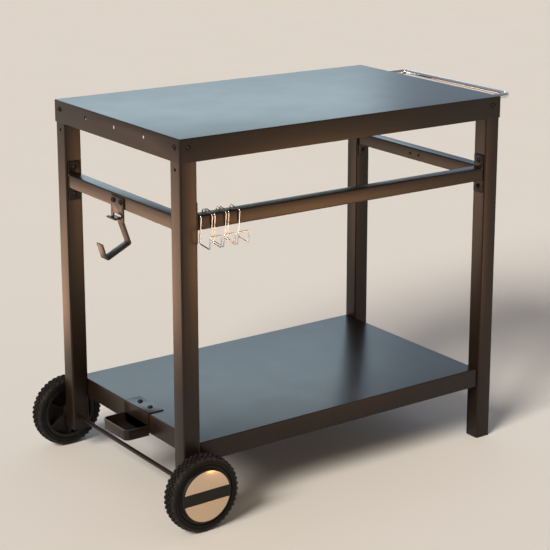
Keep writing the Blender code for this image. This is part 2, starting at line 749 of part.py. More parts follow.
def rim(name, side, parent):
    """A moulded rim: barrel, web, hub and ribs in one piece. Its axis is local Y, outwards is side."""
    hub_in, hub_out = (end - TYRE_MID for end in hub_ends())
    edge = RIM_WIDTH / 2
    lip = edge - RIM_FLANGE_THICK
    seat = BEAD_SEAT / 2
    flange = RIM_FLANGE / 2
    inner = seat - RIM_WALL
    bore = (BUSH / 2 + FIT) / cos(pi / RIM_SIDES)
    web = RIM_WEB / 2
    profile = [(bore, hub_in), (HUB / 2, hub_in), (HUB / 2, -web), (inner, -web), (inner, -edge),
               (flange, -edge), (flange, -lip), (seat, -lip), (seat, lip), (flange, lip), (flange, edge),
               (inner, edge), (inner, web), (HUB / 2, web), (HUB / 2, hub_out), (bore, hub_out)]
    bm = bmesh.new()
    add_turned(bm, profile, RIM_SIDES, facing((0, side, 0)), closed=True)
    obj = place(name, bm, "black plastic", parent)
    ribs = bmesh.new()
    near = HUB / 2 - RIM_RIB_ROOT
    far = inner + RIM_WALL / 2
    low = -edge + RIM_RIB
    for k in range(RIM_RIBS):
        turn = Matrix.Rotation(2 * pi * (k + 0.5) / RIM_RIBS, 4, "Y")
        outline = [(near, side * low), (far, side * low), (far, 0.0), (near, 0.0)]
        add_prism(ribs, outline, -RIM_RIB / 2, RIM_RIB / 2, turn)
    combine(obj, ribs, "UNION")


def bush(name, side, parent):
    """The sleeve in the hub, with a collar between the hub and the leg."""
    hub_in, hub_out = (end - TYRE_MID for end in hub_ends())
    collar = hub_in - FIT
    profile = [(axle_bore(), collar - BUSH_FLANGE), (BUSH_COLLAR / 2, collar - BUSH_FLANGE),
               (BUSH_COLLAR / 2, collar), (BUSH / 2, collar), (BUSH / 2, hub_out), (axle_bore(), hub_out)]
    bm = bmesh.new()
    add_turned(bm, profile, AXLE_SIDES, facing((0, side, 0)), closed=True)
    place(name, bm, "natural nylon", parent)


def segment_outline(radius, chord):
    """A slice of a disc beyond a chord, anticlockwise, with the chord below."""
    start = asin(chord / radius)
    return arc((0.0, 0.0), radius, start, pi - start, CAP_SIDES * 3 // 8)


def wheel_cap(name, side, parent):
    """A cap over the wheel's outer face, with two recesses that leave a band across the middle."""
    seat = RIM_WIDTH / 2 + FIT
    face = seat + CAP_PROUD
    inner = (BEAD_SEAT / 2 - RIM_WALL) * cos(pi / RIM_SIDES) - FIT
    under = face - CAP_FACE
    foot = seat - CAP_SKIRT
    bore = inner - CAP_SKIRT_WALL
    profile = [(0.0, under), (bore, under), (bore, foot), (inner, foot), (inner, seat), (CAP / 2, seat),
               (CAP / 2, face - CAP_EDGE), (CAP / 2 - CAP_EDGE, face), (0.0, face)]
    bm = bmesh.new()
    add_turned(bm, profile, CAP_SIDES, facing((0, side, 0)))
    obj = place(f"wheel_cap_{name}", bm, "black plastic", parent)
    pockets = bmesh.new()
    outline = segment_outline(CAP_PLATE / 2 + FIT, CAP_BAND / 2 - FIT)
    bright = segment_outline(CAP_PLATE / 2, CAP_BAND / 2)
    floor = face - CAP_RECESS
    for where, way in (("lower", -1), ("upper", 1)):
        matrix = segment_matrix(side, way)
        add_prism(pockets, outline, floor, face + CAP_RECESS, matrix)
        plate = bmesh.new()
        add_prism(plate, bright, floor + FIT, floor + FIT + CAP_PLATE_THICK, matrix)
        place(f"cap_plate_{name}_{where}", plate, "bright chrome", parent)
    combine(obj, pockets, "DIFFERENCE")


def segment_matrix(side, way):
    """Local Z to the wheel's outer side, local Y up or down."""
    out = Vector((0, side, 0))
    up = Vector((0, 0, way))
    return Matrix((up.cross(out), up, out)).transposed().to_4x4()


def wheels(parent):
    """Each wheel hangs on an empty whose origin is on the axle."""
    for name, side in FRONT_REAR:
        centre = empty(f"wheel_{name}_axis", (-LEG_X, side * TYRE_MID, AXLE_HEIGHT), parent)
        tyre(f"tyre_{name}", centre)
        rim(f"rim_{name}", side, centre)
        bush(f"wheel_bush_{name}", side, centre)
        wheel_cap(name, side, centre)


def sweep(bm, path, radii, level, sides):
    """Rings of verts about the points of a flat path, one radius for each."""
    rings = []
    for k, point in enumerate(path):
        before = path[max(k - 1, 0)]
        after = path[min(k + 1, len(path) - 1)]
        along = (after - before).normalized()
        across = Vector((-along.y, along.x, 0.0))
        spot = Vector((point.x, point.y, level))
        angles = [2 * pi * j / sides for j in range(sides)]
        offsets = [radii[k] * (across * cos(a) + Vector((0, 0, sin(a)))) for a in angles]
        rings.append([bm.verts.new(spot + offset) for offset in offsets])
    return rings


def handle(parent):
    """A bent tube outside the right skirt, bolted from inside through the skirt.

    A threaded insert pressed into each end narrows the bore there.
    """
    face = TOP_LENGTH / 2
    start = face + FIT + ROSETTE_THICK + FIT
    half = HANDLE_SPAN / 2
    corners = [(start, -half), (HANDLE_X, -half), (HANDLE_X, half), (start, half)]
    path = filleted(corners, HANDLE_BEND, HANDLE_BEND_STEPS)
    narrow = BOLT / 2 + BOLT_PLAY
    wide = HANDLE_TUBE / 2 - HANDLE_WALL
    step = Vector((HANDLE_INSERT, 0.0))
    near, far = path[0] + step, path[-1] + step
    bore = [path[0], near, near] + path[1:-1] + [far, far, path[-1]]
    radii = [narrow, narrow] + [wide] * (len(bore) - 4) + [narrow, narrow]
    bm = bmesh.new()
    skin = sweep(bm, path, [HANDLE_TUBE / 2] * len(path), HANDLE_Z, HANDLE_SIDES)
    lining = sweep(bm, bore, radii, HANDLE_Z, HANDLE_SIDES)
    bridge(bm, skin + lining[::-1] + skin[:1])
    place("side_handle", bm, "bright chrome", parent)
    inside = face - TOP_SHEET - FIT
    ring = [(narrow, 0.0), (ROSETTE / 2, 0.0), (ROSETTE / 2 - ROSETTE_EDGE, ROSETTE_THICK),
            (narrow, ROSETTE_THICK)]
    for name, side in FRONT_REAR:
        rosette = bmesh.new()
        matrix = facing((1, 0, 0), (face + FIT, side * half, HANDLE_Z))
        add_turned(rosette, ring, AXLE_SIDES, matrix, closed=True)
        place(f"handle_rosette_{name}", rosette, "bright chrome", parent)
        grip = start + HANDLE_INSERT - BOLT_REACH - inside
        bolt(f"handle_bolt_{name}", (inside, side * half, HANDLE_Z), (-1, 0, 0), grip, "zinc", parent)


def tank_hook_plate(parent):
    """The slotted plate on the left rail's outer face, with its two through bolts and nuts."""
    outline = rounded_rectangle(HOOK_PLATE_WIDE, HOOK_PLATE_TALL, HOOK_PLATE_CORNER)
    middle_z = RAIL_TOP - HOOK_PLATE_DROP - HOOK_PLATE_TALL / 2
    bm = bmesh.new()
    matrix = Matrix.Translation((RAIL_FACE_X - FIT, 0, middle_z)) @ side_plane()
    add_prism(bm, outline, 0.0, HOOK_PLATE_THICK, matrix)
    obj = place("tank_hook_plate", bm, "black powder coat", parent)
    cutters = bmesh.new()
    slot = rounded_rectangle(HOOK_BAR_WIDE + 2 * SLOT_PLAY, SLOT_TALL, SLOT_CORNER)
    matrix = Matrix.Translation((RAIL_FACE_X, 0, SLOT_BOTTOM + SLOT_TALL / 2)) @ side_plane()
    add_prism(cutters, slot, -HOOK_PLATE_THICK, 3 * HOOK_PLATE_THICK, matrix)
    for sy in (-1, 1):
        spot = (RAIL_FACE_X, sy * HOOK_BOLT_PITCH / 2, RAIL_MID)
        add_bolt_hole(cutters, spot, (1, 0, 0), 4 * HOOK_PLATE_THICK)
    combine(obj, cutters, "DIFFERENCE")
    grip = HOOK_PLATE_THICK + RAIL + 3 * FIT + NUT_TALL + BOLT_REACH
    outside = RAIL_FACE_X - 2 * FIT - HOOK_PLATE_THICK
    for name, side in FRONT_REAR:
        y = side * HOOK_BOLT_PITCH / 2
        bolt(f"hook_plate_bolt_{name}", (outside, y, RAIL_MID), (-1, 0, 0), grip, "black powder coat", parent)
        nut(f"hook_plate_nut_{name}", (RAIL_FACE_X + RAIL + FIT, y, RAIL_MID), (1, 0, 0), parent)


def side_plane():
    """Local X to world -Y, local Y up, local Z outwards to -X."""
    return Matrix((Vector((0, -1, 0)), Vector((0, 0, 1)), Vector((-1, 0, 0)))).transposed().to_4x4()


def hook_path():
    """Middle line of the tank hook's bar from its head to its tip, as (X, Z) from the pivot."""
    neck = Vector((HOOK_PLATE_THICK / 2 + HOOK_NECK_GAP + HOOK_BAR / 2, 0.0))
    head = Vector((-HOOK_PLATE_THICK / 2 - HEAD_CLEAR - HEAD_DEEP, 0.0))
    shank = neck + Vector((SHANK_RUN, -SHANK_DROP))
    seat = shank + Vector((-SEAT_RUN, -SEAT_DROP))
    tip = seat + Vector((-TIP_RUN, TIP_RISE))
    return [head, neck, shank, seat, tip]


def upright():
    """Local X to world X, local Y up, local Z to the front: for a section in the XZ plane."""
    return Matrix((Vector((1, 0, 0)), Vector((0, 0, 1)), Vector((0, -1, 0)))).transposed().to_4x4()


def tank_hook(parent):
    """A bent flat bar with a T head that stops it in the plate's slot. It hangs on the slot's axis."""
    pivot = empty("tank_hook_axis", HOOK_PIVOT, parent)
    path = hook_path()
    bm = bmesh.new()
    points = filleted(path, HOOK_BEND, BEND_STEPS)
    add_prism(bm, ribbon(points, HOOK_BAR), -HOOK_BAR_WIDE / 2, HOOK_BAR_WIDE / 2, upright())
    obj = place("tank_hook", bm, "black powder coat", pivot)
    head = bmesh.new()
    outline = rounded_rectangle(HEAD_DEEP, HEAD_WIDE, HEAD_CORNER)
    middle = Matrix.Translation((path[0].x + HEAD_DEEP / 2 - WELD, 0, 0))
    add_prism(head, outline, -HOOK_BAR / 2 - WELD, HOOK_BAR / 2 + WELD, middle)
    combine(obj, head, "UNION")


def tank_tray(parent):
    """A bent bracket: a flange on the shelf, a web down its skirt and a shallow tray outside it."""
    edge = -(LEG_FACE_X - FIT)
    half = TRAY_LONG / 2
    flange_z = SHELF_TOP + FIT + TRAY_SHEET / 2
    web_x = edge - FIT - TRAY_SHEET / 2
    low = SHELF_TOP - TRAY_DROP
    path = [(edge + TRAY_FLANGE, flange_z), (web_x, flange_z), (web_x, low)]
    bm = bmesh.new()
    add_prism(bm, ribbon(filleted(path, TRAY_SHEET, WIRE_STEPS), TRAY_SHEET), -half, half, upright())
    obj = place("tank_tray", bm, "black powder coat", parent)
    inner = web_x
    outer = edge - TRAY_REACH
    rim_path = [(inner, TRAY_SHEET / 2 - half), (outer + TRAY_SHEET / 2, TRAY_SHEET / 2 - half),
                (outer + TRAY_SHEET / 2, half - TRAY_SHEET / 2), (inner, half - TRAY_SHEET / 2)]
    route = filleted(rim_path, TRAY_CORNER, BEND_STEPS)
    wall = bmesh.new()
    add_prism(wall, ribbon(route, TRAY_SHEET), low, low + TRAY_WALL)
    combine(obj, wall, "UNION")
    floor = bmesh.new()
    add_prism(floor, [tuple(point) for point in route], low, low + TRAY_SHEET)
    combine(obj, floor, "UNION")
    drills = bmesh.new()
    grip = TRAY_SHEET + 3 * FIT + SHELF_SHEET + NUT_TALL + BOLT_REACH
    for name, side in FRONT_REAR:
        spot = Vector((edge + TRAY_BOLT_IN, side * TRAY_BOLT_PITCH / 2, flange_z))
        add_bolt_hole(drills, spot, (0, 0, 1), 3 * TRAY_SHEET)
        seat = spot + Vector((0, 0, TRAY_SHEET / 2 + FIT))
        bolt(f"tray_bolt_{name}", seat, (0, 0, 1), grip, "black powder coat", parent)
        nut(f"tray_nut_{name}", (spot.x, spot.y, SHELF_TOP - SHELF_SHEET - FIT), (0, 0, -1), parent)
    combine(obj, drills, "DIFFERENCE")


def wire_hooks(parent):
    """Bent wire loops over the front rail. Each is one wire, with both ends behind the rail.

    The weight of its foot leans a hook, until it bears on the rail's rounded upper and lower front edges.
    """
    radius = WIRE / 2
    half = WIRE_WIDE / 2 - radius
    side = [(half, WIRE_OVER, -WIRE_BACK), (half, WIRE_OVER, 0.0), (half, 0.0, 0.0), (half, 0.0, -WIRE_FRONT),
            (half, -WIRE_FOOT, -WIRE_FRONT), (half, -WIRE_FOOT, WIRE_TIP - WIRE_FRONT)]
    side = [Matrix.Rotation(WIRE_LEAN, 3, "X") @ Vector(point) for point in side]
    near = radius + FIT - RAIL_CORNER * (cos(WIRE_LEAN) + sin(WIRE_LEAN) - 1)
    rise = near * (cos(WIRE_LEAN) - sin(WIRE_LEAN)) - RAIL * sin(WIRE_LEAN) ** 2
    ahead = (near + (RAIL + rise) * sin(WIRE_LEAN)) / cos(WIRE_LEAN)
    side = [point + Vector((0.0, -RAIL / 2 - ahead, rise)) for point in side]
    for number in range(WIRE_COUNT):
        x = -LEG_FACE_X + WIRE_FIRST + number * WIRE_PITCH
        route = side + [(-px, py, pz) for px, py, pz in reversed(side)]
        curve = bpy.data.curves.new(f"wire_hook_{number + 1}", "CURVE")
        curve.dimensions = "3D"
        curve.bevel_depth = radius
        curve.bevel_resolution = 1
        curve.use_fill_caps = True
        points = filleted(route, WIRE_BEND, WIRE_STEPS)
        spline = curve.splines.new("POLY")
        spline.points.add(len(points) - 1)
        for target, point in zip(spline.points, points):
            target.co = (*point, 1.0)
        obj = bpy.data.objects.new(f"wire_hook_{number + 1}", curve)
        obj.location = (x, -LEG_Y, RAIL_TOP)
        obj.parent = parent
        bpy.context.collection.objects.link(obj)
        curve.materials.append(material(obj.name, "bright chrome"))


def main():
    clear_scene()
    cart = empty("cart", (-MIDDLE_X, 0.0, 0.0))
    tabletop(cart)
    stiffeners("top_stiffener", TOP_HEIGHT - TOP_SHEET, TOP_WIDTH, cart)
    legs(cart)
    feet(cart)
    rails(cart)
    shelf(cart)
    axle(cart)
    wheels(cart)
    handle(cart)
    tank_hook_plate(cart)
    tank_hook(cart)
    tank_tray(cart)
    wire_hooks(cart)
    bpy.context.view_layer.update()


main()
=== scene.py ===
"""Looks of the grill cart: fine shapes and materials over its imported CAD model.

The file is laid out as an add-on and is run as a script.
"""

import json
from math import asin, copysign, cos, hypot, pi, radians, sin

import bmesh
import bpy
from bpy.props import FloatProperty, FloatVectorProperty, IntProperty, PointerProperty
from mathutils import Matrix, Vector


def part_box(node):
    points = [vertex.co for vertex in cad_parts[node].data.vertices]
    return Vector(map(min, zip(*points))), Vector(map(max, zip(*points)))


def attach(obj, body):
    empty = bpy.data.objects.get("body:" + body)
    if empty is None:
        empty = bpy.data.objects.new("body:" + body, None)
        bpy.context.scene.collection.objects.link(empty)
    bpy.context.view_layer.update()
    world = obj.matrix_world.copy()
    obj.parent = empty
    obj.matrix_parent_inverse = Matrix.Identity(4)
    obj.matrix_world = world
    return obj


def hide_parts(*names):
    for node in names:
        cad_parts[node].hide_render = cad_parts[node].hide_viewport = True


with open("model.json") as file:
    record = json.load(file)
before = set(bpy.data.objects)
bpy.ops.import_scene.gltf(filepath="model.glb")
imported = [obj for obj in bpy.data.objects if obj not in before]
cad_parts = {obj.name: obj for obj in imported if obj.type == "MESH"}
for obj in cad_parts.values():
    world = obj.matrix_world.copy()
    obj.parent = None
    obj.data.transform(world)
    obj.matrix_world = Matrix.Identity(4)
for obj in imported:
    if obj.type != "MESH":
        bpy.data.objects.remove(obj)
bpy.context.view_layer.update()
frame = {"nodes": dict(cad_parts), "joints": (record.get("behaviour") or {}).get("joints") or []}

bl_info = {
    "name": "Grill cart",
    "version": (1, 0, 0),
    "blender": (4, 5, 0),
    "location": "View3D > Sidebar > Grill cart",
    "description": "Builds the visible pieces, materials and studio of a grill cart",
    "category": "Object",
}


def linear(code):
    """An sRGB hex colour as linear red, green and blue."""
    values = [int(code[k:k + 2], 16) / 255 for k in (0, 2, 4)]
    return [v / 12.92 if v <= 0.04045 else ((v + 0.055) / 1.055) ** 2.4 for v in values]


def middle(name):
    low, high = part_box(name)
    return (low + high) / 2


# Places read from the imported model
LEG_NAMES = ("leg_front_left", "leg_front_right", "leg_rear_left", "leg_rear_right")
LEGS = {name: middle(name) for name in LEG_NAMES}
CART_X = (LEGS["leg_front_left"].x + LEGS["leg_front_right"].x) / 2
LEG_X = LEGS["leg_front_right"].x - CART_X
LEG_Y = LEGS["leg_rear_left"].y
TOP_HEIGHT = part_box("tabletop")[1].z
AXLE_HEIGHT = middle("axle").z
WHEEL_Y = middle("tyre_rear").y
HANDLE_SEAT = middle("handle_rosette_rear")

# A millimetre, and the cart's front and rear with their side of it
MM = 0.001
FRONT_REAR = (("front", -1), ("rear", 1))

# Sizes that the pieces share with the CAD model, in metres
FIT = 0.0003
RAIL_TOP = 0.670
SHELF_TOP = 0.177
SHELF_INSET = 0.005
FRAME_SHEET = 0.0030
PAN_CORNER = 0.003
TOP_HEM = 0.0135
SHELF_HEM = 0.0112
SHELF_HEM_END = 0.014
HEM_TO_LEG = 0.004
TOP_BOLT_DROP = 0.020
SHELF_BOLT_DROP = 0.022
LEG_WALL = 0.0015
LEG_CORNER = 0.004
LEG_BORE_CORNER = 0.0025
LEG_HOLE = 0.0075
LEG_HOLE_DROP = 0.066
RAIL_WALL = 0.0012
RAIL_CORNER = 0.0025
RAIL_BORE_CORNER = 0.0013
RAIL_BOLT_OFFSET = 0.031
PLATE_TALL = 0.090
PLATE_CORNER = 0.004
DRAIN_HOLE = 0.005
DRAIN_FROM_PLATE = 0.012
WELD = 0.0022
WELD_SMALL = 0.0009
ACCESSORY_PITCH = 0.123
ACCESSORY_DROP = 0.0195
ACCESSORY_HOLE = 0.008
DRILL_LONG = 0.006

# Bolts, nuts and the screw's end that stands out of a nut, as (radius, height)
HEAD_TALL = 0.0034
HEAD_BRIM = 0.0008
SOCKET_DEEP = 0.0020
SHANK_RADIUS = 0.0031
NUT_FLATS = 0.010
NUT_TALL = 0.0050
SCREW_END = ((0.0, 0.0), (0.0029, 0.0), (0.0029, 0.0062), (0.0023, 0.0065), (0.0, 0.0065))
FITTING_SIDES = 24

# Leg foot from its sole upwards, as (inset from the leg's face, height, corner)
FOOT_LEVELS = ((0.0010, 0.0, 0.003), (0.0003, 0.0003, 0.0037), (0.0, 0.0010, 0.004), (0.0, 0.0028, 0.004),
               (0.0003, 0.0030, 0.0037), (0.0022, 0.0030, 0.002), (0.0022, 0.0150, 0.002))

# Axle and wheels
AXLE_RADIUS = 0.0050
AXLE_EASE = 0.001
AXLE_HOLE = 0.0106
AXLE_DRILL = 0.05
TREAD_RADIUS = 0.0810
TREAD_CROWN = 0.0026
TREAD_HALF = 0.0165
TREAD_STEP = 0.0033
# The tyre's wall from the tread's edge inwards, as (radius, distance from the tyre's middle)
TYRE_WALL = ((0.0762, 0.0174), (0.0745, 0.0176), (0.0742, 0.0180), (0.0728, 0.0180), (0.0725, 0.0176),
             (0.0700, 0.0172), (0.0680, 0.0175), (0.0672, 0.0179), (0.0660, 0.0176), (0.0650, 0.0160),
             (0.0643, 0.0146), (0.0604, 0.0145))
# Rows of lugs, as (place across the tread, width, 1 where the row is staggered by half a pitch)
LUG_ROWS = ((-0.0133, 0.0064, 0), (-0.0067, 0.0056, 1), (0.0, 0.0056, 0), (0.0067, 0.0056, 1),
            (0.0133, 0.0064, 0))
LUG_RADIUS = 0.082
LUG_SHARE = 0.60
LUG_LEAN = 0.0006
RIM_EDGE = 0.0170
RIM_LIP = 0.0148
RIM_SEAT = 0.0597
RIM_FLANGE = 0.0640
RIM_INNER = 0.0563
RIM_WEB = 0.0015
RIM_EASE = 0.0006
HUB_BORE = 0.0080
HUB_RADIUS = 0.0140
HUB_OUT = 0.0080
RIBS = 6
RIB_FROM = 0.0115
RIB_TO = 0.0580
RIB_HALF = 0.0014
RIB_BACK = 0.0028
BUSH_BORE = 0.0053
BUSH_BODY = 0.0075
BUSH_COLLAR = 0.0120
BUSH_COLLAR_TALL = 0.003
BUSH_EASE = 0.0004
CAP_FACE = 0.0230
CAP_BACK = 0.0208
CAP_SEAT = 0.0173
CAP_SPIGOT_DEEP = 0.006
CAP_BORE = 0.0545
CAP_SPIGOT = 0.0559
CAP_RADIUS = 0.0600
# Pocket and plate of the cap, as (radius, half of the bar's width, below the face, above it)
CAP_POCKET = (0.0563, 0.0127, 0.0008, 0.002)
CAP_PLATE = (0.0560, 0.0130, 0.0005, 0.0005)

# Side handle, its rosette as (radius, height)
HANDLE_BEND = 0.016
ROSETTE = ((0.0035, 0.0), (0.0106, 0.0), (0.0110, 0.0004), (0.0108, 0.0009), (0.0100, 0.0015),
           (0.0085, 0.0019), (0.0070, 0.0020), (0.0035, 0.0020))

# Tank hook: its slot is (width, height, metal below it) and its head (depth, width)
HOOK_BAR = 0.0030
HOOK_BAR_WIDE = 0.025
HOOK_BOLT_Y = 0.016
HOOK_BOLT_HOLE = 0.0070
HOOK_PLATE_CORNER = 0.003
HOOK_SLOT = (0.031, 0.0095, 0.0053)
HOOK_SLOT_CORNER = 0.0015
HOOK_HEAD = (0.008, 0.038)
HOOK_HEAD_CORNER = 0.002
HOOK_BEND = 0.004
# Its middle line from the pivot: the head's and the neck's places, then steps along shank, seat and tip
HOOK_HEAD_X = -0.01725
HOOK_NECK_X = 0.00365
HOOK_STEPS = ((0.0205, -0.060), (-0.058, -0.029), (-0.011, 0.0365))

# Tray
TRAY_SHEET = 0.0020
TRAY_LONG = 0.104
TRAY_FLANGE = 0.037
TRAY_REACH = 0.0588
TRAY_DROP = 0.0505
TRAY_WALL = 0.0235
TRAY_CORNER = 0.0115
TRAY_FOLD = 0.0020
TRAY_BOLT_IN = 0.021
TRAY_BOLT_Y = 0.022

# Wire hook: width over the wire, lean, and its reaches over, behind, before and under the rail
WIRE_WIDE = 0.0298
WIRE_LEAN = radians(6)
WIRE_OVER = 0.0372
WIRE_BACK = 0.013
WIRE_FRONT = 0.060
WIRE_FOOT = 0.0385
WIRE_TIP = 0.027
WIRE_BEND = 0.0045

# Rounded edges of sawn bar and plate, of thin sheet and of the caps' bright plates
BAR_EDGE = 0.0005
SHEET_EDGE = 0.0004
TRIM_EDGE = 0.0003

# Camera fitted to the photograph's edges, in pixels for the lens, radians for the turns, metres for its
# place and millimetres for the sensor
PHOTO = 550
LENS_PIXELS = 1640.229
LENS_MIDDLE = (381.912, 204.110)
CAMERA_YAW = 0.67465
CAMERA_PITCH = 0.24724
CAMERA_ROLL = -0.01605
CAMERA_SPOT = (-2.111105, -3.011265, 1.516521)
SENSOR = 36

# Studio: lamps as (name, size, watts, colour, place, target), and colours low and high in the room
SUN_STRENGTH = 3.4
SUN_ANGLE = radians(24)
SUN_COLOUR = "FFF4E6"
SUN_SPOT = (-3.9, -1.4, 2.9)
SKY_PANEL = ("Sky panel", (3.8, 2.0), 55, "C8DEE4", (1.8, 4.6, 2.3), (0, 0, 0.8))
LEFT_STRIP = ("Left strip", (1.8, 1.2), 29, "FFC69C", (-1.48, 1.56, 0.01), (-1.48, 1.56, 1))
FRONT_STRIP = ("Front strip", (2.0, 0.7), 44, "FFB674", (1.20, -2.18, 0.01), (1.20, -2.18, 1))
SKY_COLOURS = ("BCD0E2", "98B0CC")
ROOM_COLOURS = ("A78A6B", "8B7D6D")
BACKDROP = "F1ECE5"
FLOOR_RINGS = (0.0, 3.0, 60.0)


class CartSizes(bpy.types.PropertyGroup):
    """Sizes of the cart's sheet metal, tube and fittings."""

    top_length: FloatProperty(name="Top length", description="Length of the tabletop", default=0.866,
                              unit="LENGTH")
    top_width: FloatProperty(name="Top width", description="Depth of the tabletop", default=0.530,
                             unit="LENGTH")
    top_skirt: FloatProperty(name="Top skirt", description="Height of the tabletop's folded skirt",
                             default=0.050, unit="LENGTH")
    top_sheet: FloatProperty(name="Top sheet", description="Thickness of the tabletop's sheet",
                             default=0.0015, unit="LENGTH")
    shelf_skirt: FloatProperty(name="Shelf skirt", description="Height of the shelf's folded skirt",
                               default=0.045, unit="LENGTH")
    shelf_sheet: FloatProperty(name="Shelf sheet", description="Thickness of the shelf's sheet",
                               default=0.0012, unit="LENGTH")
    fold: FloatProperty(name="Fold", description="Outer radius of the folds in the sheet", default=0.0020,
                        unit="LENGTH")
    leg: FloatProperty(name="Leg tube", description="Side of the legs' square tube", default=0.040,
                       unit="LENGTH")
    rail: FloatProperty(name="Rail tube", description="Side of the rails' square tube", default=0.030,
                        unit="LENGTH")
    bolt_head: FloatProperty(name="Bolt head", description="Diameter of the button heads", default=0.0118,
                             unit="LENGTH")
    socket: FloatProperty(name="Socket", description="Hexagon socket across its flats", default=0.0042,
                          unit="LENGTH")
    handle_tube: FloatProperty(name="Handle tube", description="Diameter of the side handle", default=0.0127,
                               unit="LENGTH")
    wire: FloatProperty(name="Hook wire", description="Diameter of the wire hooks", default=0.0028,
                        unit="LENGTH")
    lug: FloatProperty(name="Tread lug", description="Height of the tyre's lugs", default=0.0030,
                       unit="LENGTH")
    lug_count: IntProperty(name="Lugs", description="Lugs in each row round a tyre", default=42, min=12)


class CartFinish(bpy.types.PropertyGroup):
    """Colours of the cart's finishes."""

    coat: FloatVectorProperty(name="Powder coat", description="Colour of the sprayed steel", subtype="COLOR",
                              default=linear("19120E"))
    coat_edge: FloatVectorProperty(name="Coat at edges", subtype="COLOR", default=linear("4C382A"),
                                   description="Colour of the powder coat where it is thin on an edge")
    oxide: FloatVectorProperty(name="Black oxide", description="Colour of the blackened bolts",
                               subtype="COLOR", default=linear("120E0C"))
    chrome: FloatVectorProperty(name="Chrome", description="Colour of the chrome plating", subtype="COLOR",
                                default=linear("D9DBDD"))
    # The warm tint of the bright plates' colour is a painted reflection of wooden boards, not the plates' own
    # colour.
    trim: FloatVectorProperty(name="Bright trim", description="Colour of the wheel caps' bright plates",
                              subtype="COLOR", default=linear("DCC3A8"))
    zinc: FloatVectorProperty(name="Zinc", description="Colour of the zinc plating", subtype="COLOR",
                              default=linear("B9BAB4"))
    rubber: FloatVectorProperty(name="Rubber", description="Colour of the tyres", subtype="COLOR",
                                default=linear("0B0A0A"))
    dust: FloatVectorProperty(name="Dust", description="Dust that stays between the tyres' lugs",
                              subtype="COLOR", default=linear("4A4542"))
    plastic: FloatVectorProperty(name="Plastic", description="Colour of the moulded black plastic",
                                 subtype="COLOR", default=linear("0C0A0A"))
    nylon: FloatVectorProperty(name="Nylon", description="Colour of the natural nylon", subtype="COLOR",
                               default=linear("D8D2C2"))
    floor: FloatVectorProperty(name="Floor", description="Colour of the studio floor", subtype="COLOR",
                               default=linear("E6E5E3"))


# Mesh helpers


def arc(centre, radius, start, end, steps):
    angles = [start + (end - start) * k / steps for k in range(steps + 1)]
    return [(centre[0] + radius * cos(a), centre[1] + radius * sin(a)) for a in angles]


def rounded_rectangle(width, depth, radius, steps=5):
    """Outline of a rectangle with round corners about 0, 0, anticlockwise."""
    points = []
    for sx, sy, start in ((1, 1, 0.0), (-1, 1, pi / 2), (-1, -1, pi), (1, -1, 3 * pi / 2)):
        centre = (sx * (width / 2 - radius), sy * (depth / 2 - radius))
        points += arc(centre, radius, start, start + pi / 2, steps)
    return points


def filleted(points, radius, steps):
    """An open path whose inner corners are replaced by arcs; points may be 2-D or 3-D."""
    path = [Vector(points[0])]
    for before, corner, after in zip(points, points[1:], points[2:]):
        corner = Vector(corner)
        back = (Vector(before) - corner).normalized()
        ahead = (Vector(after) - corner).normalized()
        half = back.angle(ahead) / 2
        inward = (back + ahead).normalized()
        centre = corner + inward * (radius / sin(half))
        swing = pi / 2 - half
        across = (ahead - back).normalized()
        for k in range(steps + 1):
            turn = -swing + 2 * swing * k / steps
            path.append(centre - inward * radius * cos(turn) + across * radius * sin(turn))
    path.append(Vector(points[-1]))
    return path


def ribbon(path, thickness):
    """Closed outline of a strip of even thickness about an open 2-D path."""
    left, right = [], []
    for k, point in enumerate(path):
        before = path[max(k - 1, 0)]
        after = path[min(k + 1, len(path) - 1)]
        one = (Vector(point) - Vector(before)).normalized() if k else None
        two = (Vector(after) - Vector(point)).normalized() if k < len(path) - 1 else None
        along = ((one or two) + (two or one)).normalized()
        across = Vector((-along.y, along.x))
        wide = thickness / 2 / max(across.dot(Vector((-(one or two).y, (one or two).x))), 0.3)
        left.append(Vector(point) + across * wide)
        right.append(Vector(point) - across * wide)
    return left + right[::-1]


def facing(direction, spot=(0, 0, 0)):
    """Local Z along a direction, local Y as near up as can be, at a place on the cart."""
    out = Vector(direction).normalized()
    up = Vector((0, 0, 1)) if abs(out.z) < 0.9 else Vector((0, 1, 0))
    side = up.cross(out).normalized()
    turn = Matrix((side, out.cross(side), out)).transposed().to_4x4()
    return Matrix.Translation(on_cart(spot)) @ turn


def on_cart(spot):
    """A place that is given from under the tabletop's middle, in the model's frame."""
    return Vector(spot) + Vector((CART_X, 0, 0))


def side_section(y):
    """Local X to world X, local Y up, local Z to the front, for a section in the XZ plane."""
    turn = Matrix((Vector((1, 0, 0)), Vector((0, 0, 1)), Vector((0, -1, 0)))).transposed().to_4x4()
    return Matrix.Translation(on_cart((0, y, 0))) @ turn


def bridge(bm, rings, closed=False):
    """Faces between rings of equal length."""
    pairs = list(zip(rings, rings[1:])) + ([(rings[-1], rings[0])] if closed else [])
    for one, two in pairs:
        count = len(one)
        for k in range(count):
            nxt = (k + 1) % count
            corners = list(dict.fromkeys((one[k], one[nxt], two[nxt], two[k])))
            if len(corners) > 2:
                bm.faces.new(corners)


def ring(bm, outline, level, matrix):
    return [bm.verts.new(matrix @ Vector((point[0], point[1], level))) for point in outline]


def round_ring(bm, spots, level, matrix):
    """Vertices from (radius, angle) about local Z."""
    return ring(bm, [(radius * cos(angle), radius * sin(angle)) for radius, angle in spots], level, matrix)


def prism(bm, outline, low, high, matrix):
    rings = [ring(bm, outline, low, matrix), ring(bm, outline, high, matrix)]
    bridge(bm, rings)
    bm.faces.new(rings[0][::-1])
    bm.faces.new(rings[1])


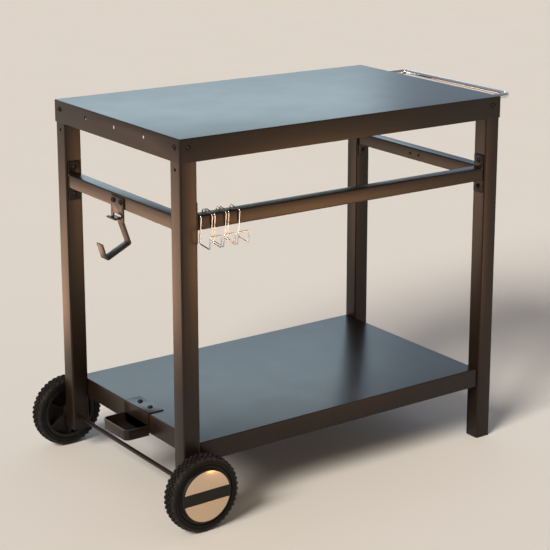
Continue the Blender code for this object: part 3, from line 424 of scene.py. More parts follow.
def tube(bm, outer, inner, low, high, matrix):
    """A tube with square ends between an outer and an inner outline of as many points."""
    rings = [ring(bm, outer, low, matrix), ring(bm, outer, high, matrix), ring(bm, inner, high, matrix),
             ring(bm, inner, low, matrix)]
    bridge(bm, rings, closed=True)


def turned(bm, profile, sides, matrix, closed=False):
    """A profile of (radius, height) turned about local Z; an end on the axis closes to a point."""
    rings = []
    for radius, height in profile:
        if radius < 1e-6:
            rings.append([bm.verts.new(matrix @ Vector((0, 0, height)))] * sides)
            continue
        rings.append(round_ring(bm, [(radius, 2 * pi * k / sides) for k in range(sides)], height, matrix))
    bridge(bm, rings, closed)


def pipe(bm, path, radius, sides, matrix):
    """A round bar along a path in space, with slightly rounded ends."""
    path = [matrix @ Vector(point) for point in path]
    normal = None
    rings = []
    for k, point in enumerate(path):
        along = (path[min(k + 1, len(path) - 1)] - path[max(k - 1, 0)]).normalized()
        if normal is None:
            normal = along.orthogonal().normalized()
        normal = (normal - along * normal.dot(along)).normalized()
        across = along.cross(normal)
        rings.append((point, along, normal.copy(), across))
    ends = {0: -1, len(path) - 1: 1}
    loops = []
    for k, (point, along, first, second) in enumerate(rings):
        steps = [(1.0, 0.0)]
        if k in ends:
            steps = [(1.0, -0.35), (0.93, -0.1), (0.72, 0.0)]
            steps = steps if ends[k] > 0 else steps[::-1]
        for share, shift in steps:
            centre = point + along * radius * shift * ends.get(k, 1)
            loops.append([bm.verts.new(centre + radius * share * (first * cos(a) + second * sin(a)))
                          for a in (2 * pi * j / sides for j in range(sides))])
    bridge(bm, loops)
    bm.faces.new(loops[0][::-1])
    bm.faces.new(loops[-1])


def hexagon_radius(angle, apothem):
    """Distance from a hexagon's middle to its outline in one direction."""
    return apothem / cos((angle + pi / 6) % (pi / 3) - pi / 6)


def button_head(bm, seat, direction, sizes):
    """A low domed bolt head with a hexagon socket and a short shank into its hole."""
    wide, tall, brim = sizes.bolt_head / 2, HEAD_TALL, HEAD_BRIM
    matrix = facing(direction, seat)
    angles = [2 * pi * k / FITTING_SIDES for k in range(FITTING_SIDES)]
    # The outline as (radius, height) from the shank over the brim and the dome to the socket
    levels = [(SHANK_RADIUS, -0.0006), (wide - 0.0002, -0.0001), (wide, 0.0002), (wide, brim)]
    levels += [(wide * cos(a) ** 0.6, brim + (tall - brim) * sin(a)) for a in (0.25, 0.5, 0.75, 1.0)]
    levels += [(wide * 0.56, tall - 0.0001), (wide * 0.50, tall)]
    rings = [round_ring(bm, [(r, a) for a in angles], z, matrix) for r, z in levels]
    half = sizes.socket / 2
    for apothem, z in ((half + 0.0002, tall), (half, tall - 0.0003), (half, tall - SOCKET_DEEP)):
        rings.append(round_ring(bm, [(hexagon_radius(a, apothem), a) for a in angles], z, matrix))
    bridge(bm, rings)
    bm.faces.new(rings[0][::-1])
    bm.faces.new(rings[-1])


def hexagon_nut(bm, seat, direction):
    """A nut with its corners turned off above and below, and the screw's end in it."""
    flats, tall, bore = NUT_FLATS, NUT_TALL, SHANK_RADIUS
    matrix = facing(direction, seat)
    angles = [2 * pi * k / FITTING_SIDES for k in range(FITTING_SIDES)]
    lead, turned_off, shoulder = 0.0006, 0.0008, flats / 2 * 0.96
    # The outline as (radius, height, whether it is the hexagon) from the bore round the outside
    levels = ((bore, lead, False), (bore + 0.0005, 0.0, False), (shoulder, 0.0, False),
              (0.0, turned_off, True), (0.0, tall - turned_off, True), (shoulder, tall, False),
              (bore + 0.0005, tall, False), (bore, tall - lead, False))
    rings = []
    for radius, z, is_hexagon in levels:
        spots = [(hexagon_radius(a, flats / 2) if is_hexagon else radius, a) for a in angles]
        rings.append(round_ring(bm, spots, z, matrix))
    bridge(bm, rings, closed=True)
    turned(bm, SCREW_END, 20, matrix)


def shade(mesh, angle):
    mesh.shade_smooth()
    mesh.set_sharp_from_angle(angle=radians(angle))


def piece(name, bm, finish, slot, body="cart", stands_for=(), spot=None, angle=32):
    """Turns a bmesh into a piece that rides on a body, has a finish and stands for CAD nodes."""
    bmesh.ops.recalc_face_normals(bm, faces=bm.faces)
    mesh = bpy.data.meshes.new(name)
    if spot is not None:
        bmesh.ops.translate(bm, verts=bm.verts, vec=-spot)
    bm.to_mesh(mesh)
    bm.free()
    shade(mesh, angle)
    mesh.materials.append(finish)
    obj = bpy.data.objects.new(name, mesh)
    if spot is not None:
        obj.location = spot
    bpy.context.scene.collection.objects.link(obj)
    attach(obj, body)
    if stands_for:
        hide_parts(*stands_for)
    return obj


def settle(obj, angle=32):
    """Applies the object's modifiers and shades it again."""
    bpy.context.view_layer.update()
    depsgraph = bpy.context.evaluated_depsgraph_get()
    result = bpy.data.meshes.new_from_object(obj.evaluated_get(depsgraph))
    obj.modifiers.clear()
    old = obj.data
    obj.data = result
    bpy.data.meshes.remove(old)
    result.name = obj.name
    shade(result, angle)


def cut(obj, bm, operation="DIFFERENCE", angle=32):
    """Cuts a bmesh out of an object, or joins it on, by an exact Boolean."""
    bmesh.ops.recalc_face_normals(bm, faces=bm.faces)
    mesh = bpy.data.meshes.new("tool")
    bm.to_mesh(mesh)
    bm.free()
    tool = bpy.data.objects.new("tool", mesh)
    bpy.context.scene.collection.objects.link(tool)
    modifier = obj.modifiers.new("cut", "BOOLEAN")
    modifier.operation = operation
    modifier.solver = "EXACT"
    modifier.object = tool
    settle(obj, angle)
    bpy.data.objects.remove(tool, do_unlink=True)
    bpy.data.meshes.remove(mesh)


def soften(obj, width, segments=2, angle=32):
    """Rounds the sharp edges of a piece, as a tumbled or moulded part has them."""
    modifier = obj.modifiers.new("soften", "BEVEL")
    modifier.width = width
    modifier.segments = segments
    modifier.limit_method = "ANGLE"
    modifier.angle_limit = radians(40)
    modifier.miter_outer = "MITER_ARC"
    modifier.use_clamp_overlap = True
    settle(obj, angle)


def drill(bm, spot, direction, diameter, length, sides=24):
    outline = arc((0.0, 0.0), diameter / 2, 0.0, 2 * pi * (1 - 1 / sides), sides - 1)
    prism(bm, outline, -length / 2, length / 2, facing(direction, spot))


# Materials

ZINC_DULL = "96958C"
NYLON_AGED = "B8AE98"


def add(tree, kind, inputs=(), **settings):
    """Adds a node with its settings, sets or links its inputs and returns its outputs by name.

    Inputs come by name, or in their order where several have the same name.
    """
    made = tree.nodes.new(kind)
    for name, value in settings.items():
        setattr(made, name, value)
    sockets = [socket for socket in made.inputs if socket.enabled]
    if isinstance(inputs, dict):
        named = {socket.name: socket for socket in sockets}
        sockets = [named[name] for name in inputs]
        inputs = inputs.values()
    for socket, value in zip(sockets, inputs):
        if isinstance(value, bpy.types.NodeSocket):
            tree.links.new(value, socket)
        else:
            socket.default_value = (*value, 1.0) if socket.type == "RGBA" else value
    return {socket.name: socket for socket in made.outputs if socket.enabled}


def blank(name, roughness, metallic=0.0):
    """A new material with its shader and the object's own coordinates."""
    material = bpy.data.materials.new(name)
    material.use_nodes = True
    tree = material.node_tree
    shader = tree.nodes["Principled BSDF"]
    shader.inputs["Roughness"].default_value = roughness
    shader.inputs["Metallic"].default_value = metallic
    return material, tree, shader, add(tree, "ShaderNodeTexCoord")["Object"]


def edge_mask(tree, radius, share):
    """A share on edges and tight folds and 0 on flat faces, from how far a rounded normal turns."""
    rounded = add(tree, "ShaderNodeBevel", {"Radius": radius}, samples=6)["Normal"]
    flat = add(tree, "ShaderNodeNewGeometry")["Normal"]
    dot = add(tree, "ShaderNodeVectorMath", (rounded, flat), operation="DOT_PRODUCT")["Value"]
    edge = add(tree, "ShaderNodeMapRange", (dot, 0.99, 0.80, 0.0, 1.0))["Result"]
    return add(tree, "ShaderNodeMath", (edge, share), operation="MULTIPLY")["Value"]


def powder_coat(colours):
    """Polyester powder coat on steel: a satin skin with an orange peel, thin and paler on the edges."""
    material, tree, shader, place = blank("Satin powder coat", 0.31)
    shader.inputs["Specular IOR Level"].default_value = 0.28
    # Clouds 90 mm across give the slow changes of tone of a large sprayed face.
    cloud = add(tree, "ShaderNodeTexNoise", {"Vector": place, "Scale": 1 / (90 * MM), "Detail": 3.0})["Fac"]
    # The grit of the powder is 0.1 mm; it is drawn 1.4 mm wide so that a render of the whole cart shows it.
    grit = add(tree, "ShaderNodeTexNoise", {"Vector": place, "Scale": 1 / (1.4 * MM), "Detail": 2.0})["Fac"]
    # The orange peel has waves of 4 mm.
    peel = add(tree, "ShaderNodeTexNoise", {"Vector": place, "Scale": 1 / (4 * MM), "Detail": 1.0})["Fac"]
    thin = add(tree, "ShaderNodeMapRange", (cloud, 0.35, 0.65, 0.0, 0.06))["Result"]
    tone = add(tree, "ShaderNodeMix", (thin, colours.coat, colours.coat_edge), data_type="RGBA")["Result"]
    proud = add(tree, "ShaderNodeMapRange", (grit, 0.55, 0.75, 0.0, 0.22))["Result"]
    speck = add(tree, "ShaderNodeMix", (proud, tone, colours.coat_edge), data_type="RGBA")["Result"]
    worn = edge_mask(tree, 1.2 * MM, 0.55)
    colour = add(tree, "ShaderNodeMix", (worn, speck, colours.coat_edge), data_type="RGBA")["Result"]
    tree.links.new(colour, shader.inputs["Base Color"])
    gloss = add(tree, "ShaderNodeMapRange", (cloud, 0.3, 0.7, 0.295, 0.325))["Result"]
    tree.links.new(gloss, shader.inputs["Roughness"])
    fine = add(tree, "ShaderNodeBump", {"Strength": 0.25, "Distance": 0.05 * MM, "Height": grit})["Normal"]
    bump = add(tree, "ShaderNodeBump",
               {"Strength": 0.35, "Distance": 0.12 * MM, "Height": peel, "Normal": fine})["Normal"]
    tree.links.new(bump, shader.inputs["Normal"])
    return material


def black_oxide(colours):
    """Blackened steel bolts: nearly black, half matt and a little brown where fingers and keys rub."""
    material, tree, shader, place = blank("Black oxide steel", 0.45, 0.35)
    # Rubbed patches are 3 mm across.
    rub = add(tree, "ShaderNodeTexNoise", {"Vector": place, "Scale": 1 / (3 * MM), "Detail": 3.0})["Fac"]
    brown = add(tree, "ShaderNodeMapRange", (rub, 0.4, 0.7, 0.0, 0.25))["Result"]
    tone = add(tree, "ShaderNodeMix", (brown, colours.oxide, colours.coat), data_type="RGBA")["Result"]
    worn = edge_mask(tree, 0.5 * MM, 0.4)
    colour = add(tree, "ShaderNodeMix", (worn, tone, colours.coat_edge), data_type="RGBA")["Result"]
    tree.links.new(colour, shader.inputs["Base Color"])
    gloss = add(tree, "ShaderNodeMapRange", (rub, 0.3, 0.7, 0.38, 0.52))["Result"]
    tree.links.new(gloss, shader.inputs["Roughness"])
    return material


def chrome_plate(colours):
    """Chrome over nickel on bent steel: a mirror with faint rubbing marks and finger smears."""
    material, tree, shader, place = blank("Bright chrome plating", 0.10, 1.0)
    # A finger's smear is 30 mm long.
    smear = add(tree, "ShaderNodeTexNoise",
                {"Vector": place, "Scale": 1 / (30 * MM), "Detail": 4.0, "Roughness": 0.6})["Fac"]
    # Polishing marks 0.5 mm apart, drawn 1 mm apart.
    marks = add(tree, "ShaderNodeTexNoise", {"Vector": place, "Scale": 1 / (1 * MM), "Detail": 2.0})["Fac"]
    gloss = add(tree, "ShaderNodeMapRange", (smear, 0.4, 0.7, 0.07, 0.20))["Result"]
    tree.links.new(gloss, shader.inputs["Roughness"])
    haze = add(tree, "ShaderNodeMapRange", (smear, 0.5, 0.8, 0.0, 0.3))["Result"]
    hazy = [c * 0.78 for c in colours.chrome]
    colour = add(tree, "ShaderNodeMix", (haze, colours.chrome, hazy), data_type="RGBA")["Result"]
    tree.links.new(colour, shader.inputs["Base Color"])
    bump = add(tree, "ShaderNodeBump", {"Strength": 0.12, "Distance": 0.01 * MM, "Height": marks})["Normal"]
    tree.links.new(bump, shader.inputs["Normal"])
    return material


def bright_trim(colours):
    """Stamped plate, polished and lacquered: a soft mirror with fine polishing lines, whose warm tint is a
    painted reflection of wooden boards.
    """
    material, tree, shader, place = blank("Polished lacquered plate", 0.16, 1.0)
    # The lacquer's clouds are 18 mm across.
    cloud = add(tree, "ShaderNodeTexNoise", {"Vector": place, "Scale": 1 / (18 * MM), "Detail": 3.0})["Fac"]
    # Polishing lines 0.3 mm apart and 8 mm long, drawn 0.9 mm apart.
    stretch = add(tree, "ShaderNodeMapping", {"Vector": place, "Scale": (1.0, 1.0, 9.0)})["Vector"]
    lines = add(tree, "ShaderNodeTexNoise", {"Vector": stretch, "Scale": 1 / (8 * MM), "Detail": 3.0})["Fac"]
    gloss = add(tree, "ShaderNodeMapRange", (cloud, 0.35, 0.7, 0.12, 0.24))["Result"]
    tree.links.new(gloss, shader.inputs["Roughness"])
    dull = add(tree, "ShaderNodeMapRange", (lines, 0.4, 0.7, 0.0, 0.25))["Result"]
    # The plate's colour holds a warm tint that is a painted reflection of wooden boards.
    lined = [c * 0.82 for c in colours.trim]
    colour = add(tree, "ShaderNodeMix", (dull, colours.trim, lined), data_type="RGBA")["Result"]
    tree.links.new(colour, shader.inputs["Base Color"])
    bump = add(tree, "ShaderNodeBump", {"Strength": 0.15, "Distance": 0.02 * MM, "Height": lines})["Normal"]
    tree.links.new(bump, shader.inputs["Normal"])
    return material


def zinc_plate(colours):
    """Bright zinc on turned and stamped fittings: grey, half matt, with the plating's small spangle."""
    material, tree, shader, place = blank("Bright zinc plating", 0.34, 1.0)
    # The spangle is 1.6 mm and the passivated clouds are 6 mm across.
    spangle = add(tree, "ShaderNodeTexVoronoi", {"Vector": place, "Scale": 1 / (1.6 * MM)})["Distance"]
    cloud = add(tree, "ShaderNodeTexNoise", {"Vector": place, "Scale": 1 / (6 * MM), "Detail": 3.0})["Fac"]
    dull = add(tree, "ShaderNodeMapRange", (cloud, 0.35, 0.7, 0.0, 0.45))["Result"]
    tone = add(tree, "ShaderNodeMix", (dull, colours.zinc, linear(ZINC_DULL)), data_type="RGBA")["Result"]
    tree.links.new(tone, shader.inputs["Base Color"])
    gloss = add(tree, "ShaderNodeMapRange", (spangle, 0.0, 0.8, 0.28, 0.42))["Result"]
    tree.links.new(gloss, shader.inputs["Roughness"])
    return material


def tyre_rubber(colours):
    """Vulcanised black rubber: matt, with dust left in the grooves and a soft bloom."""
    material, tree, shader, place = blank("Moulded tyre rubber", 0.56)
    shader.inputs["Specular IOR Level"].default_value = 0.2
    apart = add(tree, "ShaderNodeSeparateXYZ", (place,))
    squares = [add(tree, "ShaderNodeMath", (apart[axis], 2.0), operation="POWER")["Value"] for axis in "XZ"]
    total = add(tree, "ShaderNodeMath", squares, operation="ADD")["Value"]
    radius = add(tree, "ShaderNodeMath", (total,), operation="SQRT")["Value"]
    # The tread's floor lies 81 mm out. Dust fades over the 1.4 mm about it and thins out down the wall.
    groove = add(tree, "ShaderNodeMapRange", (radius, 81.8 * MM, 80.4 * MM, 0.0, 1.0))["Result"]
    wall = add(tree, "ShaderNodeMapRange", (radius, 74 * MM, 80 * MM, 0.0, 1.0))["Result"]
    # The dust lies in patches of 12 mm.
    patches = add(tree, "ShaderNodeTexNoise",
                  {"Vector": place, "Scale": 1 / (12 * MM), "Detail": 5.0, "Roughness": 0.65})["Fac"]
    dusty = add(tree, "ShaderNodeMath", (groove, wall), operation="MULTIPLY")["Value"]
    patchy = add(tree, "ShaderNodeMapRange", (patches, 0.35, 0.7, 0.1, 0.6))["Result"]
    share = add(tree, "ShaderNodeMath", (dusty, patchy), operation="MULTIPLY")["Value"]
    bloom = add(tree, "ShaderNodeMapRange", (patches, 0.45, 0.75, 0.0, 0.12))["Result"]
    tone = add(tree, "ShaderNodeMix", (bloom, colours.rubber, colours.dust), data_type="RGBA")["Result"]
    colour = add(tree, "ShaderNodeMix", (share, tone, colours.dust), data_type="RGBA")["Result"]
    tree.links.new(colour, shader.inputs["Base Color"])
    gloss = add(tree, "ShaderNodeMapRange", (patches, 0.3, 0.7, 0.46, 0.66))["Result"]
    tree.links.new(gloss, shader.inputs["Roughness"])
    # The mould's spark-eroded grain is 0.2 mm, drawn 0.8 mm.
    grain = add(tree, "ShaderNodeTexNoise", {"Vector": place, "Scale": 1 / (0.8 * MM), "Detail": 2.0})["Fac"]
    bump = add(tree, "ShaderNodeBump", {"Strength": 0.4, "Distance": 0.08 * MM, "Height": grain})["Normal"]
    tree.links.new(bump, shader.inputs["Normal"])
    return material


def moulded_plastic(colours):
    """Injection-moulded black polypropylene: fine grain, a low sheen and whitened edges."""
    material, tree, shader, place = blank("Moulded polypropylene", 0.46)
    shader.inputs["Specular IOR Level"].default_value = 0.3
    # The mould's grain is 0.3 mm, drawn 0.9 mm, and handling leaves patches of 25 mm.
    grain = add(tree, "ShaderNodeTexVoronoi", {"Vector": place, "Scale": 1 / (0.9 * MM)})["Distance"]
    cloud = add(tree, "ShaderNodeTexNoise", {"Vector": place, "Scale": 1 / (25 * MM), "Detail": 4.0})["Fac"]
    dusty = add(tree, "ShaderNodeMapRange", (cloud, 0.4, 0.7, 0.0, 0.07))["Result"]
    tone = add(tree, "ShaderNodeMix", (dusty, colours.plastic, colours.dust), data_type="RGBA")["Result"]
    white = edge_mask(tree, 0.8 * MM, 0.35)
    colour = add(tree, "ShaderNodeMix", (white, tone, colours.dust), data_type="RGBA")["Result"]
    tree.links.new(colour, shader.inputs["Base Color"])
    gloss = add(tree, "ShaderNodeMapRange", (cloud, 0.3, 0.7, 0.40, 0.54))["Result"]
    tree.links.new(gloss, shader.inputs["Roughness"])
    bump = add(tree, "ShaderNodeBump", {"Strength": 0.3, "Distance": 0.05 * MM, "Height": grain})["Normal"]
    tree.links.new(bump, shader.inputs["Normal"])
    return material


def natural_nylon(colours):
    """Turned nylon, undyed: waxy, a little see-through and slightly uneven in tone."""
    material, tree, shader, place = blank("Natural nylon", 0.42)
    # Its tone changes over 6 mm.
    cloud = add(tree, "ShaderNodeTexNoise", {"Vector": place, "Scale": 1 / (6 * MM), "Detail": 3.0})["Fac"]
    aged = add(tree, "ShaderNodeMapRange", (cloud, 0.4, 0.7, 0.0, 0.4))["Result"]
    tone = add(tree, "ShaderNodeMix", (aged, colours.nylon, linear(NYLON_AGED)), data_type="RGBA")["Result"]
    tree.links.new(tone, shader.inputs["Base Color"])
    shader.inputs["Subsurface Weight"].default_value = 0.15
    shader.inputs["Subsurface Radius"].default_value = (2.0 * MM, 1.6 * MM, 1.0 * MM)
    return material


def studio_floor(colours):
    """Matt painted board: pale, with a barely seen roller texture."""
    material, tree, shader, place = blank("Pale painted floor", 0.95)
    shader.inputs["Specular IOR Level"].default_value = 0.0
    # The roller's passes are 350 mm wide.
    roller = add(tree, "ShaderNodeTexNoise", {"Vector": place, "Scale": 1 / (350 * MM), "Detail": 2.0})["Fac"]
    uneven = add(tree, "ShaderNodeMapRange", (roller, 0.3, 0.7, 0.0, 0.03))["Result"]
    darker = [c * 0.7 for c in colours.floor]
    tone = add(tree, "ShaderNodeMix", (uneven, colours.floor, darker), data_type="RGBA")["Result"]
    tree.links.new(tone, shader.inputs["Base Color"])
    return material


MAKERS = {"coat": powder_coat, "oxide": black_oxide, "chrome": chrome_plate, "trim": bright_trim,
          "zinc": zinc_plate, "rubber": tyre_rubber, "plastic": moulded_plastic, "nylon": natural_nylon,
          "floor": studio_floor}
SLOTS = {"coat": "black_coat", "oxide": "black_coat", "chrome": "chrome", "trim": "bright_trim",
         "zinc": "zinc", "rubber": "tyre_rubber", "plastic": "black_plastic", "nylon": "nylon"}
made_finishes = {}


def finish(name):
    """The material of that name, made when it is first asked for."""
    if name not in made_finishes:
        made_finishes[name] = MAKERS[name](bpy.context.scene.cart_finish)
    return made_finishes[name]


def dress(nodes, name):
    """Gives CAD nodes whose shape is right their finish."""
    for node in nodes:
        mesh = frame["nodes"][node].data
        mesh.materials.clear()
        mesh.materials.append(finish(name))


def part(name, bm, look, **rest):
    return piece(name, bm, finish(look), SLOTS[look], **rest)


# Shapes that several pieces share


def pan(bm, length, width, top, skirt, sheet, fold, corner):
    """A pressed pan: flat top, folds, skirt and a slightly eased lower edge, as two skins."""
    ease = sheet * 0.3
    steps = 5
    skins = []
    outside = (0.0, fold, corner, top)
    inside = (sheet, fold - sheet, corner - sheet, top - sheet)
    for inset, bend, radius, level in (outside, inside):
        levels = [(inset + bend * (1 - sin(pi / 2 * k / steps)), level - bend * (1 - cos(pi / 2 * k / steps)))
                  for k in range(steps + 1)]
        levels.append((inset, top - skirt + ease))
        levels.append((inset + (ease if inset == 0.0 else -ease), top - skirt))
        skin = []
        for edge, z in levels:
            drawn_in = max(radius - edge + inset, 0.0002)
            outline = rounded_rectangle(length - 2 * edge, width - 2 * edge, drawn_in)
            skin.append([bm.verts.new(on_cart((x, y, z))) for x, y in outline])
        bm.faces.new(skin[0])
        bridge(bm, skin)
        skins.append(skin)
    bridge(bm, [skins[0][-1], skins[1][-1]])


def hems(bm, length, width, bottom, sheet, wide, half_x, half_y):
    """Strips turned in under the skirts, each with a rounded fold outside and an eased inner edge."""
    # Section from the skirt inwards, as (distance from the skirt's outer face, height)
    section = [(sheet * 0.5, 0.0002), (sheet * 0.5, sheet), (wide - 0.0003, sheet), (wide, sheet * 0.6),
               (wide, sheet * 0.45), (wide - 0.0003, 0.0002)]
    for side in (-1, 1):
        for along_x in (True, False):
            half = half_x if along_x else half_y
            edge = (width if along_x else length) / 2
            ends = []
            for end in (-half, half):
                verts = []
                for inward, z in section:
                    across = side * (edge - inward)
                    spot = (end, across, bottom + z) if along_x else (across, end, bottom + z)
                    verts.append(bm.verts.new(on_cart(spot)))
                ends.append(verts)
            bridge(bm, ends)
            bm.faces.new(ends[0])
            bm.faces.new(ends[1][::-1])


def weld_bead(bm, outline, level, wide, matrix):
    """A small fillet of weld round a tube's outline where it meets a plate, with a slight ripple."""
    rings = []
    for reach, lift in ((0.0, wide), (0.62, wide * 0.62), (1.0, 0.0), (0.0, -0.0001)):
        verts = []
        for k, (x, y) in enumerate(outline):
            ripple = 1 + 0.10 * sin(k * 2.4)
            scale = 1 + wide * reach * ripple / hypot(x, y)
            verts.append(bm.verts.new(matrix @ Vector((x * scale, y * scale, level + lift * ripple))))
        rings.append(verts)
    bridge(bm, rings, closed=True)


# Operators, one for each piece or group of like pieces


class CART_OT_tabletop(bpy.types.Operator):
    """Pressed tabletop with its skirt, hems, holes and bolts"""

    bl_idname = "cart.tabletop"
    bl_label = "Tabletop"

    def execute(self, context):
        sizes = context.scene.cart_sizes
        length, width, skirt, sheet = sizes.top_length, sizes.top_width, sizes.top_skirt, sizes.top_sheet
        bm = bmesh.new()
        pan(bm, length, width, TOP_HEIGHT, skirt, sheet, sizes.fold, PAN_CORNER)
        top = part("tabletop_pan", bm, "coat", stands_for=("tabletop",))
        holes = bmesh.new()
        for k in (-1, 0, 1):
            spot = (-length / 2, k * ACCESSORY_PITCH, TOP_HEIGHT - ACCESSORY_DROP)
            drill(holes, spot, (1, 0, 0), ACCESSORY_HOLE, DRILL_LONG)
        cut(top, holes)
        bm = bmesh.new()
        half_x, half_y = LEG_X - sizes.leg / 2 - HEM_TO_LEG, LEG_Y - sizes.leg / 2 - HEM_TO_LEG
        hems(bm, length, width, TOP_HEIGHT - skirt, sheet, TOP_HEM, half_x, half_y)
        part("tabletop_hems", bm, "coat")
        bm = bmesh.new()
        level = TOP_HEIGHT - TOP_BOLT_DROP
        for sx in (-1, 1):
            for sy in (-1, 1):
                button_head(bm, (sx * length / 2, sy * LEG_Y, level), (sx, 0, 0), sizes)
                button_head(bm, (sx * LEG_X, sy * width / 2, level), (0, sy, 0), sizes)
        part("tabletop_bolts", bm, "oxide")
        dress(("top_stiffener_left", "top_stiffener_right"), "coat")
        return {"FINISHED"}


class CART_OT_legs(bpy.types.Operator):
    """Four legs of square tube, with their holes and moulded feet"""

    bl_idname = "cart.legs"
    bl_label = "Legs and feet"

    def execute(self, context):
        sizes = context.scene.cart_sizes
        bore = sizes.leg - 2 * LEG_WALL
        outer = rounded_rectangle(sizes.leg, sizes.leg, LEG_CORNER, steps=6)
        inner = rounded_rectangle(bore, bore, LEG_BORE_CORNER, steps=6)
        for name, centre in LEGS.items():
            low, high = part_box(name)
            spot = Matrix.Translation((centre.x, centre.y, 0))
            bm = bmesh.new()
            tube(bm, outer, inner, low.z, high.z, spot)
            leg = part(f"{name}_tube", bm, "coat", stands_for=(name,))
            drills = bmesh.new()
            side = 1 if centre.x > CART_X else -1
            outside = centre.x - CART_X + side * sizes.leg / 2
            drill(drills, (outside, centre.y, TOP_HEIGHT - LEG_HOLE_DROP), (1, 0, 0), LEG_HOLE, DRILL_LONG)
            if side < 0:
                axle = (outside + sizes.leg / 2, centre.y, AXLE_HEIGHT)
                drill(drills, axle, (0, 1, 0), AXLE_HOLE, AXLE_DRILL, sides=32)
            cut(leg, drills)
            self.foot(name.replace("leg", "foot"), sizes, spot)
        return {"FINISHED"}

    def foot(self, name, sizes, spot):
        low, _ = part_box(name)
        bm = bmesh.new()
        rings = []
        for inset, level, radius in FOOT_LEVELS:
            side = sizes.leg - 2 * inset
            rings.append(ring(bm, rounded_rectangle(side, side, radius, steps=6), low.z + level, spot))
        bridge(bm, rings)
        bm.faces.new(rings[0][::-1])
        bm.faces.new(rings[-1])
        part(f"{name}_plug", bm, "plastic", stands_for=(name,))


class CART_OT_rails(bpy.types.Operator):
    """Three rails of square tube, welded to end plates that are bolted to the legs"""

    bl_idname = "cart.rails"
    bl_label = "Rails"

    def execute(self, context):
        sizes = context.scene.cart_sizes
        half_x, half_y = LEG_X - sizes.leg / 2 - FIT, LEG_Y - sizes.leg / 2 - FIT
        level = RAIL_TOP - sizes.rail / 2
        runs = (("rail_left", (0, 1, 0), (-LEG_X, 0, level), half_y),
                ("rail_right", (0, 1, 0), (LEG_X, 0, level), half_y),
                ("rail_front", (1, 0, 0), (0, -LEG_Y, level), half_x))
        for name, along, centre, half in runs:
            self.rail(name, Vector(along), Vector(centre), half, sizes)
        return {"FINISHED"}

    def rail(self, name, along, centre, half, sizes):
        thick = FRAME_SHEET
        bore = sizes.rail - 2 * RAIL_WALL
        outer = rounded_rectangle(sizes.rail, sizes.rail, RAIL_CORNER)
        inner = rounded_rectangle(bore, bore, RAIL_BORE_CORNER)
        bm = bmesh.new()
        tube(bm, outer, inner, -half + thick, half - thick, facing(along, centre))
        bar = part(f"{name}_tube", bm, "coat", stands_for=(name,))
        drills = bmesh.new()
        for end in (-1, 1):
            spot = centre + along * end * (half - thick - DRAIN_FROM_PLATE) - Vector((0, 0, sizes.rail / 2))
            drill(drills, spot, (0, 0, 1), DRAIN_HOLE, DRAIN_HOLE)
            if name != "rail_front":
                spot = centre + along * end * HOOK_BOLT_Y
                drill(drills, spot, (1, 0, 0), HOOK_BOLT_HOLE, sizes.rail + DRILL_LONG)
        cut(bar, drills)
        plates = bmesh.new()
        beads = bmesh.new()
        bolts = bmesh.new()
        up = Vector((0, 0, 1))
        turn = Matrix((up.cross(along), up, along)).transposed().to_4x4()
        outline = rounded_rectangle(sizes.rail, PLATE_TALL, PLATE_CORNER)
        for end in (-1, 1):
            spot = Matrix.Translation(on_cart(centre + along * end * (half - thick / 2))) @ turn
            prism(plates, outline, -thick / 2, thick / 2, spot)
            face = Matrix.Translation(on_cart(centre + along * end * (half - thick))) @ turn
            # The first wire hook slides to 1.1 mm from the front rail's left plate, so its weld is small.
            bead = WELD_SMALL if name == "rail_front" and end < 0 else WELD
            weld_bead(beads, outer, 0.0, bead, face @ Matrix.Scale(-end, 4, (0, 0, 1)))
            for side in (-1, 1):
                seat = centre + along * end * (half - thick) + up * side * RAIL_BOLT_OFFSET
                button_head(bolts, seat, -end * along, sizes)
        soften(part(f"{name}_plates", plates, "coat"), BAR_EDGE)
        part(f"{name}_welds", beads, "coat", angle=60)
        part(f"{name}_bolts", bolts, "oxide")


class CART_OT_shelf(bpy.types.Operator):
    """Pressed lower shelf between the legs, with its stiffeners and bolts"""

    bl_idname = "cart.shelf"
    bl_label = "Shelf"

    def execute(self, context):
        sizes = context.scene.cart_sizes
        length = 2 * (LEG_X - sizes.leg / 2 - FIT)
        width = 2 * (LEG_Y + sizes.leg / 2 - SHELF_INSET)
        bm = bmesh.new()
        pan(bm, length, width, SHELF_TOP, sizes.shelf_skirt, sizes.shelf_sheet, sizes.fold, PAN_CORNER)
        part("shelf_pan", bm, "coat", stands_for=("shelf",))
        bm = bmesh.new()
        half_x, half_y = length / 2 - SHELF_HEM_END, LEG_Y - sizes.leg / 2 - HEM_TO_LEG
        hems(bm, length, width, SHELF_TOP - sizes.shelf_skirt, sizes.shelf_sheet, SHELF_HEM, half_x, half_y)
        part("shelf_hems", bm, "coat")
        bm = bmesh.new()
        for sx in (-1, 1):
            for sy in (-1, 1):
                seat = (sx * (length / 2 - sizes.shelf_sheet), sy * LEG_Y, SHELF_TOP - SHELF_BOLT_DROP)
                button_head(bm, seat, (-sx, 0, 0), sizes)
        part("shelf_bolts", bm, "oxide")
        dress(("shelf_stiffener_left", "shelf_stiffener_right"), "coat")
        return {"FINISHED"}


class CART_OT_axle(bpy.types.Operator):
    """Axle rod, its washers and the push nuts on its ends"""

    bl_idname = "cart.axle"
    bl_label = "Axle"

    def execute(self, context):
        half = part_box("axle")[1].y
        tip = AXLE_RADIUS - AXLE_EASE
        profile = [(0.0, -half), (tip, -half), (AXLE_RADIUS, AXLE_EASE - half),
                   (AXLE_RADIUS, half - AXLE_EASE), (tip, half), (0.0, half)]
        bm = bmesh.new()
        turned(bm, profile, 32, facing((0, 1, 0), (-LEG_X, 0, AXLE_HEIGHT)))
        part("axle_rod", bm, "coat", stands_for=("axle",))
        dress(("axle_washer_front", "axle_washer_rear", "axle_nut_front", "axle_nut_rear"), "zinc")
        return {"FINISHED"}


